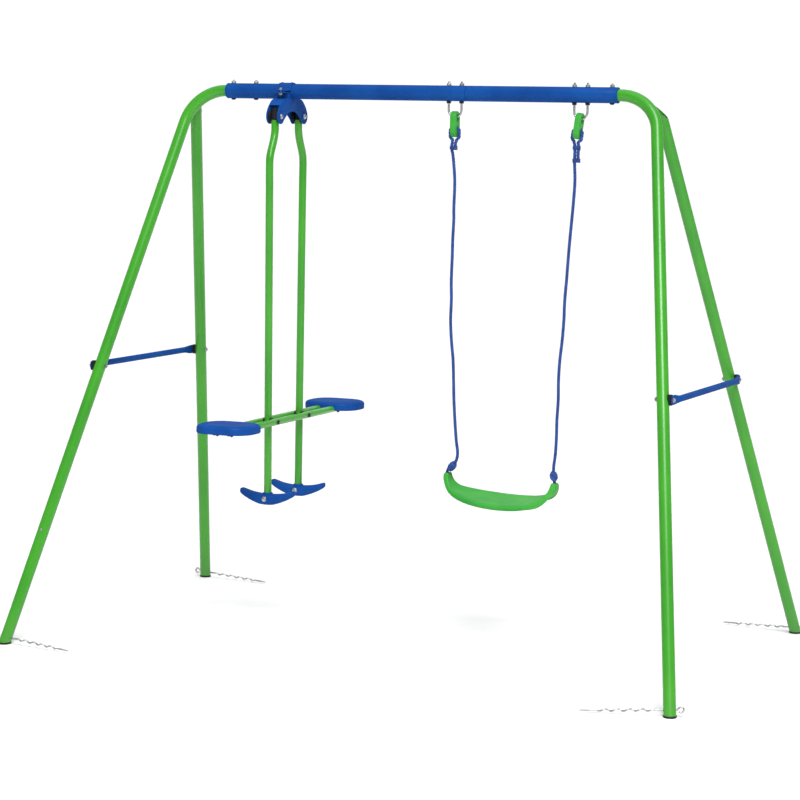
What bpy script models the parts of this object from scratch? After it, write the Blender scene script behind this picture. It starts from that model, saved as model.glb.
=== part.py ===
"""Free-standing garden swing set: beam, splayed legs, rope swing and two-seat glider.

Metres, +Z up, +X along the beam, -Y is the front. The origin is on the ground
under the middle of the beam.
"""
import math

import bmesh
import bpy
from mathutils import Matrix, Vector

# ---- frame -----------------------------------------------------------------
BEAM_Z = 1.780
BEAM_R = 0.025
BEAM_WALL = 0.0015
BEAM_END = 0.678
BEAM_SEAM = 0.173
SWAGE_END = 0.085
SWAGE_R = 0.0231
LEG_R = 0.019
LEG_WALL = 0.0015
CORNER_X = 0.804
FOOT_X = 1.118
FOOT_Y = 0.690
ELBOW_R = 0.135
INSERT_X = 0.555
FOOT_PAD = 0.005
TOP_BOLT_Z = 1.712
SLANT = (0.695, 0.719)
SLANT_X = 0.8104
SLANT_Z = 1.7340
CROSSBAR_Z = 0.878
CROSSBAR_R = 0.010
BEAM_BOLTS = (("beam_bolt_left_outer", -0.661), ("beam_bolt_left_inner", -0.578),
              ("beam_bolt_right_outer", 0.661))
GAP = 0.0003

# ---- ground anchors ----------------------------------------------------------
ANCHOR_R = 0.003
ANCHOR_EYE_R = 0.0080
ANCHOR_HELIX_R = 0.0030
ANCHOR_TURNS = 5
ANCHOR_PITCH = 0.0355
ANCHOR_Z = 0.020
ANCHOR_TIPS = {(-1, -1): (-0.816, -0.736), (1, -1): (0.869, -0.746),
               (-1, 1): (-0.857, 0.660), (1, 1): (0.843, 0.722)}

# ---- rope swing ----------------------------------------------------------------
HANGER_R = 0.00375
HANGER_BEND = 0.022
HANGER_BOTTOM = 1.705
HANGER_X = (0.133, 0.5585)
HANGER_TOP = 1.8180
CONNECTOR_TILT = (0.0, math.radians(8.0))
CONNECTOR_T = 0.020
CONNECTOR_EYE = -0.0355
ROPE_R = 0.0052
SWING_SEAT_Z = 0.550

# ---- glider ----------------------------------------------------------------------
GLIDER_X = -0.464
PIVOT_Y = 0.087
PIVOT_Z = 1.698
ARM_R = 0.0125
ARM_WALL = 0.0015
ARM_BEND_Y = 0.1245
ARM_END_Y = 0.1149
ARM_BEND_Z = 1.560
ARM_END_Z = 0.432
RAIL_X = 0.0255
RAIL_R = 0.011
RAIL_Z = 0.700
RAIL_Y = 0.1172
RAIL_HALF = 0.450
RAIL_SLOT = 0.0030
CHEEK_OUT = 0.0215
CHEEK_IN = 0.0180
SEAT_Y = 0.400
SEAT_W = 0.197
SEAT_D = 0.165
FOOTREST_BOLT_Z = 0.446

for old in list(bpy.data.objects):
    bpy.data.objects.remove(old, do_unlink=True)

parts = bpy.data.collections.new("swing_set")
cutters = bpy.data.collections.new("swing_set_cutters")
bpy.context.scene.collection.children.link(parts)
bpy.context.scene.collection.children.link(cutters)


def material(name, colour, roughness, metallic):
    mat = bpy.data.materials.new(name)
    mat.use_nodes = True
    shader = mat.node_tree.nodes["Principled BSDF"]
    shader.inputs["Base Color"].default_value = (*colour, 1.0)
    shader.inputs["Roughness"].default_value = roughness
    shader.inputs["Metallic"].default_value = metallic
    return mat


GREEN_PAINT = material("green_paint", (0.080, 0.410, 0.055), 0.38, 0.0)
BLUE_PAINT = material("blue_paint", (0.018, 0.085, 0.360), 0.38, 0.0)
GREEN_PLASTIC = material("green_plastic", (0.085, 0.450, 0.060), 0.45, 0.0)
BLUE_PLASTIC = material("blue_plastic", (0.020, 0.095, 0.400), 0.42, 0.0)
BLACK_PLASTIC = material("black_plastic", (0.015, 0.015, 0.017), 0.60, 0.0)
ZINC_STEEL = material("zinc_steel", (0.480, 0.490, 0.510), 0.35, 1.0)
BLUE_ROPE = material("blue_rope", (0.020, 0.080, 0.350), 0.80, 0.0)


# ---- helpers -----------------------------------------------------------------------
def add(name, bm, mat, origin=(0.0, 0.0, 0.0)):
    """Turn a bmesh drawn in world metres into a node with its own origin."""
    bmesh.ops.remove_doubles(bm, verts=bm.verts, dist=1e-6)
    bmesh.ops.recalc_face_normals(bm, faces=bm.faces)
    mesh = bpy.data.meshes.new(name)
    bm.to_mesh(mesh)
    bm.free()
    mesh.transform(Matrix.Translation(-Vector(origin)))
    mesh.materials.append(mat)
    mesh.shade_smooth()
    mesh.set_sharp_from_angle(angle=math.radians(35.0))
    obj = bpy.data.objects.new(name, mesh)
    obj.location = origin
    parts.objects.link(obj)
    return obj


def basis(direction):
    return Vector(direction).normalized().to_track_quat("Z", "Y").to_matrix()


def ring(centre, direction, radius, sides, hexed=False):
    """Round section square to a direction; hexed gives six flats from twelve points."""
    frame = basis(direction)
    points = []
    for k in range(sides):
        angle = math.tau * k / sides
        r = radius
        if hexed and sides == 12 and k % 2:
            r = radius * math.cos(math.pi / 6.0)
        local = Vector((r * math.cos(angle), r * math.sin(angle), 0.0))
        points.append(Vector(centre) + frame @ local)
    return points


def skin(rings, closed=False):
    """Join equal rings into one body; closed joins the last ring to the first."""
    bm = bmesh.new()
    loops = [[bm.verts.new(co) for co in points] for points in rings]
    pairs = list(zip(loops, loops[1:]))
    if closed:
        pairs.append((loops[-1], loops[0]))
    for lower, upper in pairs:
        for k in range(len(lower)):
            n = (k + 1) % len(lower)
            bm.faces.new((lower[k], lower[n], upper[n], upper[k]))
    if not closed:
        bm.faces.new(list(reversed(loops[0])))
        bm.faces.new(loops[-1])
    return bm


def lathe(start, direction, profile, sides, closed=False):
    """Body of revolution from (distance, radius) pairs along a direction."""
    axis = Vector(direction).normalized()
    rings = [ring(Vector(start) + axis * d, axis, r, sides) for d, r in profile]
    return skin(rings, closed)


def path_tube(points, radius, sides, caps):
    """Round tube along a route, with or without end caps."""
    curve = bpy.data.curves.new("route", "CURVE")
    curve.dimensions = "3D"
    curve.bevel_depth = radius
    curve.bevel_resolution = (sides - 4) // 2
    curve.use_fill_caps = caps
    spline = curve.splines.new("POLY")
    spline.points.add(len(points) - 1)
    for target, point in zip(spline.points, points):
        target.co = (*point, 1.0)
    source = bpy.data.objects.new("route", curve)
    cutters.objects.link(source)
    graph = bpy.context.evaluated_depsgraph_get()
    mesh = bpy.data.meshes.new_from_object(source.evaluated_get(graph))
    bpy.data.objects.remove(source, do_unlink=True)
    bm = bmesh.new()
    bm.from_mesh(mesh)
    return bm


def hollow(obj, wall):
    shell = obj.modifiers.new("wall", "SOLIDIFY")
    shell.thickness = wall
    shell.offset = -1.0
    shell.use_even_offset = True


def cutter(name, bm):
    """Keep a bmesh as a hidden cutting body."""
    bmesh.ops.recalc_face_normals(bm, faces=bm.faces)
    mesh = bpy.data.meshes.new(name)
    bm.to_mesh(mesh)
    bm.free()
    obj = bpy.data.objects.new(name, mesh)
    obj.hide_render = True
    obj.display_type = "WIRE"
    cutters.objects.link(obj)
    return obj


def drill(bm, centre, direction, radius, length, sides=8):
    """Add a round pin to a cutting bmesh."""
    place = Matrix.Translation(Vector(centre)) @ basis(direction).to_4x4()
    bmesh.ops.create_cone(bm, cap_ends=True, cap_tris=False, segments=sides, radius1=radius,
                          radius2=radius, depth=length, matrix=place)


def block(bm, low, high):
    """Add a box between two corners to a bmesh."""
    low = Vector(low)
    high = Vector(high)
    size = Matrix.Diagonal((*(high - low), 1.0))
    bmesh.ops.create_cube(bm, size=1.0, matrix=Matrix.Translation((low + high) / 2.0) @ size)


def boolean(obj, tool, operation="DIFFERENCE"):
    step = obj.modifiers.new(operation.lower(), "BOOLEAN")
    step.operation = operation
    step.solver = "EXACT"
    step.object = tool


def bolt(name, start, direction, grip, shank_r, head, nut, tail, round_head=False,
         mat=ZINC_STEEL, origin=None):
    """Bolt with its head at start, the shank along direction and the nut at the end.

    head and nut are (radius, height); a nut of None leaves the plain threaded end.
    """
    sides = 12 if round_head else 6
    axis = Vector(direction).normalized()
    start = Vector(start)
    rings = []
    if round_head:
        rings.append(ring(start - axis * head[1], axis, head[0] * 0.45, sides))
        rings.append(ring(start - axis * head[1] * 0.62, axis, head[0] * 0.88, sides))
    else:
        rings.append(ring(start - axis * head[1], axis, head[0], sides))
    rings.append(ring(start, axis, head[0], sides))
    rings.append(ring(start, axis, shank_r, sides))
    if nut:
        under = start + axis * grip
        over = under + axis * nut[1]
        rings.append(ring(under, axis, shank_r, sides))
        rings.append(ring(under, axis, nut[0], sides, hexed=True))
        rings.append(ring(over, axis, nut[0], sides, hexed=True))
        rings.append(ring(over, axis, shank_r, sides))
        grip += nut[1]
    rings.append(ring(start + axis * (grip + tail), axis, shank_r, sides))
    return add(name, skin(rings), mat, start if origin is None else origin)


def smooth(points, step):
    """Catmull-Rom route through points with about one point per step."""
    pts = [Vector(p) for p in points]
    out = [pts[0]]
    for k in range(len(pts) - 1):
        before = pts[max(k - 1, 0)]
        a = pts[k]
        b = pts[k + 1]
        after = pts[min(k + 2, len(pts) - 1)]
        count = max(1, round((b - a).length / step))
        for j in range(1, count + 1):
            t = j / count
            out.append(0.5 * (2.0 * a + (b - before) * t
                              + (2.0 * before - 5.0 * a + 4.0 * b - after) * t * t
                              + (3.0 * a - before - 3.0 * b + after) * t * t * t))
    return out


def rounded(width, height, radius, per_corner=4):
    """Rounded rectangle outline as (u, v) pairs."""
    points = []
    for cu, cv, begin in ((1, 1, 0.0), (-1, 1, 90.0), (-1, -1, 180.0), (1, -1, 270.0)):
        for j in range(per_corner):
            angle = math.radians(begin + 90.0 * j / (per_corner - 1))
            points.append((cu * (width / 2.0 - radius) + radius * math.cos(angle),
                           cv * (height / 2.0 - radius) + radius * math.sin(angle)))
    return points


def slotted(radius, reach):
    """Upright slot outline from a round end at the centre down to reach, as (across, up) pairs."""
    points = []
    for end, begin in ((0.0, 0.0), (-reach, 180.0)):
        for k in range(5):
            angle = math.radians(begin + 45.0 * k)
            points.append((radius * math.cos(angle), end + radius * math.sin(angle)))
    return points


def fillet(start, corner, end, radius, count):
    """Arc of the given radius in the corner between two straight runs."""
    a = (start - corner).normalized()
    b = (end - corner).normalized()
    turn = math.pi - a.angle(b)
    reach = radius * math.tan(turn / 2.0)
    centre = corner + (a + b).normalized() * (radius / math.cos(turn / 2.0))
    first = corner + a * reach - centre
    last = corner + b * reach - centre
    points = []
    for k in range(count + 1):
        t = turn * k / count
        points.append(centre + (math.sin(turn - t) * first + math.sin(t) * last) / math.sin(turn))
    return points


def hinge_point(name, location):
    """Empty on a joint axis."""
    empty = bpy.data.objects.new(name, None)
    empty.location = location
    parts.objects.link(empty)
    return empty


def hang(children, empty):
    for child in children:
        child.parent = empty
        child.matrix_parent_inverse = Matrix.Translation(-empty.location)


# ---- beam ------------------------------------------------------------------------------
X_AXIS = Vector((1.0, 0.0, 0.0))
Y_AXIS = Vector((0.0, 1.0, 0.0))
Z_AXIS = Vector((0.0, 0.0, 1.0))
beam_mid = Vector((0.0, 0.0, BEAM_Z))
bore = BEAM_R - BEAM_WALL
swage_bore = SWAGE_R - BEAM_WALL

hanger_legs = [x + side * HANGER_BEND for x in HANGER_X for side in (-1, 1)]

beam_left = add("beam_left", lathe(beam_mid, X_AXIS, (
    (-BEAM_END, BEAM_R), (BEAM_SEAM, BEAM_R), (BEAM_SEAM, bore), (-BEAM_END, bore)), 16, True),
    BLUE_PAINT, (-BEAM_END, 0.0, BEAM_Z))
beam_right = add("beam_right", lathe(beam_mid, X_AXIS, (
    (SWAGE_END, SWAGE_R), (BEAM_SEAM + 0.0005, SWAGE_R), (BEAM_SEAM + 0.0025, BEAM_R),
    (BEAM_END, BEAM_R), (BEAM_END, bore), (BEAM_SEAM + 0.006, bore),
    (BEAM_SEAM + 0.003, swage_bore), (SWAGE_END, swage_bore)), 16, True),
    BLUE_PAINT, (BEAM_END, 0.0, BEAM_Z))

pins = bmesh.new()
for x in [x for _, x in BEAM_BOLTS] + hanger_legs:
    drill(pins, (x, 0.0, BEAM_Z), Z_AXIS, 0.0044, 0.08)
beam_pins = cutter("cut_beam_pins", pins)
boolean(beam_left, beam_pins)
boolean(beam_right, beam_pins)

for side, sign in (("left", -1), ("right", 1)):
    outer = bore - GAP
    inner = LEG_R + 2.0 * GAP
    start = (0.0, 0.0, BEAM_Z)
    profile = ((0.5500, outer), (BEAM_END + GAP, outer), (BEAM_END + GAP, BEAM_R + 0.0004),
               (BEAM_END + 0.0038, BEAM_R), (BEAM_END + 0.0045, BEAM_R - 0.002),
               (BEAM_END + 0.0045, inner), (0.5500, inner))
    sleeve = add("beam_sleeve_" + side, lathe(start, X_AXIS * sign, profile, 16, True),
                 BLUE_PLASTIC, (sign * BEAM_END, 0.0, BEAM_Z))
    boolean(sleeve, beam_pins)

for name, x in BEAM_BOLTS:
    bolt(name, (x, 0.0, BEAM_Z - BEAM_R - GAP), Z_AXIS, 2.0 * (BEAM_R + GAP), 0.0035,
         (0.0080, 0.0050), (0.0075, 0.0065), 0.0045, round_head=True)

# ---- legs --------------------------------------------------------------------------------
lean = Vector((FOOT_X - CORNER_X, FOOT_Y, -BEAM_Z))


def leg_point(sx, sy, z):
    """Point of a leg axis at a height."""
    t = (BEAM_Z - z) / BEAM_Z
    return Vector((sx * (CORNER_X + t * lean.x), sy * t * lean.y, z))


def anchor_mouth(sx, sy):
    """Where an anchor crosses the leg axis."""
    return leg_point(sx, sy, ANCHOR_Z)


def anchor_run(sx, sy):
    """Direction of an anchor from its eye to its tip."""
    tip_x, tip_y = ANCHOR_TIPS[(sx, sy)]
    return (Vector((tip_x, tip_y, 0.0066)) - anchor_mouth(sx, sy)).normalized()


top_bolt_x = leg_point(1, 1, TOP_BOLT_Z).x - 0.001
bar_hole = leg_point(1, 1, CROSSBAR_Z)

for sx, side in ((-1, "left"), (1, "right")):
    corner = Vector((sx * CORNER_X, 0.0, BEAM_Z))
    insert = Vector((sx * INSERT_X, 0.0, BEAM_Z))
    front_foot = leg_point(sx, -1, -0.02)
    elbow = fillet(insert, corner, front_foot, ELBOW_R, 8)
    front_leg = add("leg_front_" + side, path_tube([insert] + elbow + [front_foot], LEG_R, 14, False),
                    GREEN_PAINT, insert)
    elbow_solid = cutter("cut_elbow_" + side, path_tube(elbow, LEG_R + GAP, 14, True))
    rear_top = corner.lerp(leg_point(sx, 1, 0.0), 0.010)
    rear_leg = add("leg_rear_" + side, path_tube([rear_top, leg_point(sx, 1, -0.02)], LEG_R, 14, False),
                   GREEN_PAINT, rear_top)
    for obj, sy in ((front_leg, -1), (rear_leg, 1)):
        hollow(obj, LEG_WALL)
        pins = bmesh.new()
        block(pins, (sx * FOOT_X - 0.08, sy * FOOT_Y - 0.08, -0.06),
              (sx * FOOT_X + 0.08, sy * FOOT_Y + 0.08, FOOT_PAD + GAP))
        drill(pins, (sx * bar_hole.x, sy * bar_hole.y, CROSSBAR_Z), X_AXIS, 0.0037, 0.08)
        drill(pins, anchor_mouth(sx, sy), anchor_run(sx, sy), 0.0045, 0.08)
        if sy > 0:
            drill(pins, (sx * top_bolt_x, 0.030, TOP_BOLT_Z), Y_AXIS, 0.0040, 0.090)
            slant = Vector((sx * SLANT[0], 0.0, SLANT[1]))
            drill(pins, Vector((sx * SLANT_X, 0.010, SLANT_Z)) + slant * 0.03, slant, 0.085, 0.06)
        else:
            drill(pins, (sx * top_bolt_x, 0.010, TOP_BOLT_Z), Y_AXIS, 0.0040, 0.060)
        boolean(obj, cutter("cut_" + obj.name, pins))
    boolean(front_leg, beam_pins)
    boolean(rear_leg, elbow_solid)
    bolt("top_bolt_" + side, (sx * top_bolt_x, 0.0505, TOP_BOLT_Z), -Y_AXIS, 0.0, 0.0035,
         (0.0075, 0.0065), None, 0.0685)

# ---- foot caps, crossbars and anchors ---------------------------------------------------------
for sx, side in ((-1, "left"), (1, "right")):
    for sy, end in ((-1, "front"), (1, "rear")):
        ahead = Vector((sx * lean.x, sy * lean.y, 0.0)).normalized()
        across = Vector((-ahead.y, ahead.x, 0.0))
        tilt = BEAM_Z / lean.length
        rings = []
        for z, radius in ((0.0, 0.0188), (0.0015, 0.0198), (FOOT_PAD, 0.0198),
                          (FOOT_PAD, 0.0166), (0.0125, 0.0162)):
            centre = leg_point(sx, sy, z)
            rings.append([centre + ahead * (radius / tilt * math.cos(math.tau * k / 14))
                          + across * (radius * math.sin(math.tau * k / 14)) for k in range(14)])
        add("foot_cap_%s_%s" % (end, side), skin(rings), BLACK_PLASTIC, leg_point(sx, sy, 0.0))

        # saddle washer hugging the leg behind the crossbar end
        bx = sx * bar_hole.x
        by = sy * bar_hole.y
        shape = bmesh.new()
        faces_x = sorted((bx + sx * 0.0160, bx + sx * 0.0290))
        block(shape, (faces_x[0], by - 0.0105, CROSSBAR_Z - 0.0165),
              (faces_x[1], by + 0.0105, CROSSBAR_Z + 0.0165))
        saddle = add("crossbar_saddle_%s_%s" % (end, side), shape, BLACK_PLASTIC, (bx, by, CROSSBAR_Z))
        pins = bmesh.new()
        drill(pins, (bx, by, CROSSBAR_Z), leg_point(sx, sy, 0.0) - leg_point(sx, sy, 1.0),
              LEG_R + GAP, 0.10, 20)
        boolean(saddle, cutter("cut_saddle_leg_%s_%s" % (end, side), pins))
        pins = bmesh.new()
        drill(pins, (bx, by, CROSSBAR_Z), X_AXIS, 0.0037, 0.08)
        boolean(saddle, cutter("cut_saddle_pin_%s_%s" % (end, side), pins))
        bolt("crossbar_bolt_%s_%s" % (end, side), (sx * 0.9962, by, CROSSBAR_Z), -sx * X_AXIS,
             0.9962 - 0.9421, 0.0030, (0.0070, 0.0045), (0.0066, 0.0040), 0.0012)

        # corkscrew ground anchor through the foot of the leg
        through = anchor_mouth(sx, sy)
        run = anchor_run(sx, sy)
        up = (Z_AXIS - run * run.z).normalized()
        aside = run.cross(up)
        eye = through - run * (LEG_R + 0.0060 + ANCHOR_EYE_R)
        route = []
        for k in range(11):
            angle = math.radians(-35.0 - 290.0 * k / 10)
            route.append(eye + (run * math.cos(angle) + up * math.sin(angle)) * ANCHOR_EYE_R)
        route.append(through - run * (LEG_R + 0.0014))
        helix_start = 0.036
        route.append(through + run * (helix_start - 0.012))
        for k in range(ANCHOR_TURNS * 5 + 1):
            angle = math.tau * k / 5
            along = helix_start + ANCHOR_PITCH * k / 5
            swell = min(1.0, k / 3.0)
            route.append(through + run * along
                         + (up * math.sin(angle) + aside * math.cos(angle)) * ANCHOR_HELIX_R * swell)
        route.append(through + run * (helix_start + ANCHOR_PITCH * ANCHOR_TURNS + 0.008))
        route.append(through + run * (helix_start + ANCHOR_PITCH * ANCHOR_TURNS + 0.050))
        add("ground_anchor_%s_%s" % (end, side), path_tube(route, ANCHOR_R, 6, True), ZINC_STEEL, through)

    stations = ((0.3605, 0.9940, 0.0016, 0.0105), (0.3575, 0.9940, 0.0016, 0.0142),
                (0.3340, 0.9940, 0.0016, 0.0150), (0.2960, 0.9997, CROSSBAR_R, CROSSBAR_R))
    line = [(-y, x, a, b) for y, x, a, b in stations] + [(y, x, a, b) for y, x, a, b in reversed(stations)]
    rings = []
    for wall, row in ((0.0, line), (0.0012, list(reversed(line)))):
        for y, x, a, b in row:
            rings.append([Vector((sx * (x + (a - wall) * math.cos(math.tau * k / 12)), y,
                                  CROSSBAR_Z + (b - wall) * math.sin(math.tau * k / 12)))
                          for k in range(12)])
    crossbar = add("crossbar_" + side, skin(rings, True), BLUE_PAINT, (sx * 0.9997, 0.0, CROSSBAR_Z))
    pins = bmesh.new()
    for sy in (-1, 1):
        drill(pins, (sx * 0.9940, sy * bar_hole.y, CROSSBAR_Z), X_AXIS, 0.0037, 0.02)
    boolean(crossbar, cutter("cut_crossbar_" + side, pins))

# ---- rope swing ---------------------------------------------------------------------------
SWING_ORIGIN = ((HANGER_X[0] + HANGER_X[1]) / 2.0, 0.0, HANGER_BOTTOM)
swing_axis = hinge_point("swing_axis", SWING_ORIGIN)
seat_axis = hinge_point("swing_seat_axis", (SWING_ORIGIN[0], 0.0, SWING_SEAT_Z))

ROPE_ROUTES = (
    ((0.1295, 1.5750), (0.1360, 1.5010), (0.1345, 1.4150), (0.1350, 1.3760), (0.1325, 1.3120),
     (0.1320, 1.2610), (0.1300, 1.1830), (0.1315, 1.1190), (0.1300, 1.0540), (0.1340, 0.9900),
     (0.1410, 0.9260), (0.1440, 0.8610), (0.1465, 0.7960), (0.1510, 0.7310), (0.1570, 0.6660),
     (0.1625, 0.6270), (0.1585, 0.6010), (0.1460, 0.5820), (0.1294, 0.5680), (0.1284, 0.5520)),
    ((0.5440, 1.5110), (0.5410, 1.4480), (0.5365, 1.3890), (0.5315, 1.3260),
     (0.5280, 1.2750), (0.5235, 1.1990), (0.5190, 1.1360), (0.5175, 1.0720), (0.5135, 1.0080),
     (0.5070, 0.9450), (0.5040, 0.8810), (0.5045, 0.8170), (0.5015, 0.7530), (0.5010, 0.6890),
     (0.4985, 0.6400), (0.4945, 0.6070), (0.4940, 0.5800), (0.4970, 0.5600), (0.4984, 0.5430)),
)
# rope eye drawn in the connector's own (across, up) plane, the tail's side first
LOOP = ((0.0070, -0.0380), (0.0089, -0.0346), (0.0118, -0.0326), (0.0141, -0.0302),
        (0.0155, -0.0260), (0.0156, -0.0080), (0.0144, -0.0040), (0.0116, -0.0011),
        (0.0075, 0.0), (0.0, 0.0), (-0.0075, 0.0), (-0.0116, -0.0011), (-0.0144, -0.0040),
        (-0.0156, -0.0080), (-0.0155, -0.0260), (-0.0141, -0.0302), (-0.0118, -0.0326),
        (-0.0089, -0.0346), (-0.0070, -0.0380))
ROPE_TAILS = (((0.1356, 0.0, 1.6000), (0.1360, 0.0, 1.6190)),
              ((0.5530, 0.0, 1.5690), (0.5528, 0.0, 1.5950), (0.5533, 0.0, 1.6190)))
ROPE_STARTS = (((0.1243, 0.0, 1.6190), (0.1246, 0.0, 1.6000)),
               ((0.5418, 0.0, 1.6190), (0.5416, 0.0, 1.5950), (0.5416, 0.0, 1.5690)))

for index, side in enumerate(("left", "right")):
    hx = HANGER_X[index]
    tilt = CONNECTOR_TILT[index]
    arc_centre = Vector((hx, 0.0, HANGER_BOTTOM + HANGER_BEND))
    route = [Vector((hx - HANGER_BEND, 0.0, HANGER_TOP))]
    for k in range(11):
        angle = math.pi + math.pi * k / 10
        route.append(arc_centre + Vector((math.cos(angle), 0.0, math.sin(angle))) * HANGER_BEND)
    route.append(Vector((hx + HANGER_BEND, 0.0, HANGER_TOP)))
    hanger = add("swing_hanger_" + side, path_tube(route, HANGER_R, 10, True), ZINC_STEEL,
                 (hx, 0.0, BEAM_Z))
    nuts = bmesh.new()
    for leg in (-1, 1):
        for z in (BEAM_Z + BEAM_R + GAP + 0.00325, BEAM_Z - BEAM_R - GAP - 0.00325):
            drill(nuts, (hx + leg * HANGER_BEND, 0.0, z), Z_AXIS, 0.0075, 0.0065, 6)
    boolean(hanger, cutter("join_hanger_nuts_" + side, nuts), "UNION")

    # moulded connector: the hanger runs through its slot, the rope through its eye
    lift = Vector((math.sin(tilt), 0.0, math.cos(tilt)))
    over = Vector((math.cos(tilt), 0.0, -math.sin(tilt)))
    seat_on_rod = arc_centre - lift * HANGER_BEND
    middle = seat_on_rod - lift * 0.0225
    rings = []
    for offset, inset in ((-0.5, 0.0018), (-0.41, 0.0), (0.41, 0.0), (0.5, 0.0018)):
        outline = rounded(0.042 - 2.0 * inset, 0.083 - 2.0 * inset, 0.0205 - inset, 6)
        rings.append([middle + over * (offset * CONNECTOR_T) + Y_AXIS * u + lift * v for u, v in outline])
    connector = add("swing_connector_" + side, skin(rings), GREEN_PLASTIC, seat_on_rod)
    pins = skin([[seat_on_rod + over * offset + Y_AXIS * u + lift * v for u, v in slotted(0.0083, 0.0085)]
                 for offset in (-0.02, 0.02)])
    drill(pins, seat_on_rod + lift * CONNECTOR_EYE, over, 0.0072, 0.04, 12)
    boolean(connector, cutter("cut_connector_" + side, pins))

    eye = seat_on_rod + lift * CONNECTOR_EYE
    loop = [eye + over * u + lift * v for u, v in LOOP]
    begin = [Vector(p) for p in ROPE_STARTS[index]]
    run = smooth(begin[-1:] + [Vector((x, 0.0, z)) for x, z in ROPE_ROUTES[index]], 0.031)
    route = [Vector(p) for p in ROPE_TAILS[index]] + loop + begin + run[1:]
    rope = add("swing_rope_" + side, path_tube(route, ROPE_R, 8, True), BLUE_ROPE, eye)
    hang((connector, rope), swing_axis)

# strap seat: narrow thick ends, a wide thin middle with turned-down front and rear lips
STRAP = ((0.1372, 0.5600, 0.0135, 0.0), (0.1377, 0.5555, 0.0190, 0.0),
         (0.1390, 0.5440, 0.023, 0.0), (0.1450, 0.5290, 0.030, 0.25),
         (0.1570, 0.5150, 0.040, 0.6), (0.1760, 0.5055, 0.050, 0.9), (0.2080, 0.4970, 0.062, 1.0),
         (0.2480, 0.4905, 0.071, 1.0), (0.2930, 0.4860, 0.076, 1.0), (0.3400, 0.4840, 0.077, 1.0),
         (0.3850, 0.4850, 0.074, 1.0), (0.4220, 0.4895, 0.066, 1.0), (0.4520, 0.4985, 0.055, 0.9),
         (0.4730, 0.5110, 0.043, 0.6), (0.4850, 0.5250, 0.031, 0.25), (0.4890, 0.5380, 0.024, 0.0),
         (0.4894, 0.5455, 0.0190, 0.0), (0.4895, 0.5500, 0.0135, 0.0))
SECTION = ((-1.0, -0.008, 0.0), (-0.97, -0.0025, 0.0), (-0.88, 0.0, 0.0), (-0.45, -0.0012, 0.0),
           (0.0, -0.0016, 0.0), (0.45, -0.0012, 0.0), (0.88, 0.0, 0.0), (0.97, -0.0025, 0.0),
           (1.0, -0.008, 0.0), (0.985, -0.0145, 0.0), (0.93, -0.0155, 0.0), (0.88, -0.0165, 0.0070),
           (0.78, -0.0175, 0.0105), (0.0, -0.0180, 0.0115), (-0.78, -0.0175, 0.0105),
           (-0.88, -0.0165, 0.0070), (-0.93, -0.0155, 0.0), (-0.985, -0.0145, 0.0))
rings = []
for k, (x, z, half, pocket) in enumerate(STRAP):
    before = STRAP[max(k - 1, 0)]
    after = STRAP[min(k + 1, len(STRAP) - 1)]
    tangent = Vector((after[0] - before[0], 0.0, after[1] - before[1])).normalized()
    if k in (0, len(STRAP) - 1):
        tangent = Vector((0.0, 0.0, -1.0 if k == 0 else 1.0))
    normal = Vector((-tangent.z, 0.0, tangent.x))
    tip_lean = 0.130 * pocket
    rings.append([Vector((x, half * y, z + tip_lean * half * y)) + normal * (n + pocket * lift_n)
                  for y, n, lift_n in SECTION])
swing_seat = add("swing_seat", skin(rings), GREEN_PLASTIC, (SWING_ORIGIN[0], 0.0, SWING_SEAT_Z))
pins = bmesh.new()
drill(pins, (0.1284, 0.0, 0.558), Z_AXIS, 0.0078, 0.026, 12)
drill(pins, (0.4984, 0.0, 0.548), Z_AXIS, 0.0070, 0.026, 12)
boolean(swing_seat, cutter("cut_swing_seat", pins))
hang((swing_seat,), seat_axis)

# ---- glider hanger on the beam ------------------------------------------------------------
front_axis = hinge_point("glider_front_axis", (GLIDER_X, -PIVOT_Y, PIVOT_Z))
rear_axis = hinge_point("glider_rear_axis", (GLIDER_X, PIVOT_Y, PIVOT_Z))
seats_axis = hinge_point("glider_seats_axis", (GLIDER_X, -RAIL_Y, RAIL_Z))


def extruded(outline, low_x, high_x):
    """Slab with a (y, z about the beam axis) outline between two X positions."""
    return skin([[Vector((x, y, BEAM_Z + z)) for y, z in outline] for x in (low_x, high_x)])


def arc(radius, begin, finish, count):
    steps = [math.radians(begin + (finish - begin) * k / count) for k in range(count + 1)]
    return [(radius * math.cos(a), radius * math.sin(a)) for a in steps]


strap_outline = ([(0.0630, 0.0010), (0.0630, 0.0045), (0.0300, 0.0045)] + arc(0.0285, 18.0, 162.0, 12)
                 + [(-0.0300, 0.0045), (-0.0630, 0.0045), (-0.0630, 0.0010)]
                 + arc(BEAM_R + GAP, 177.7, 2.3, 14))
strap = add("glider_clamp_strap", extruded(strap_outline, GLIDER_X - 0.025, GLIDER_X + 0.025), BLUE_PAINT,
            (GLIDER_X, 0.0, BEAM_Z))

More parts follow.
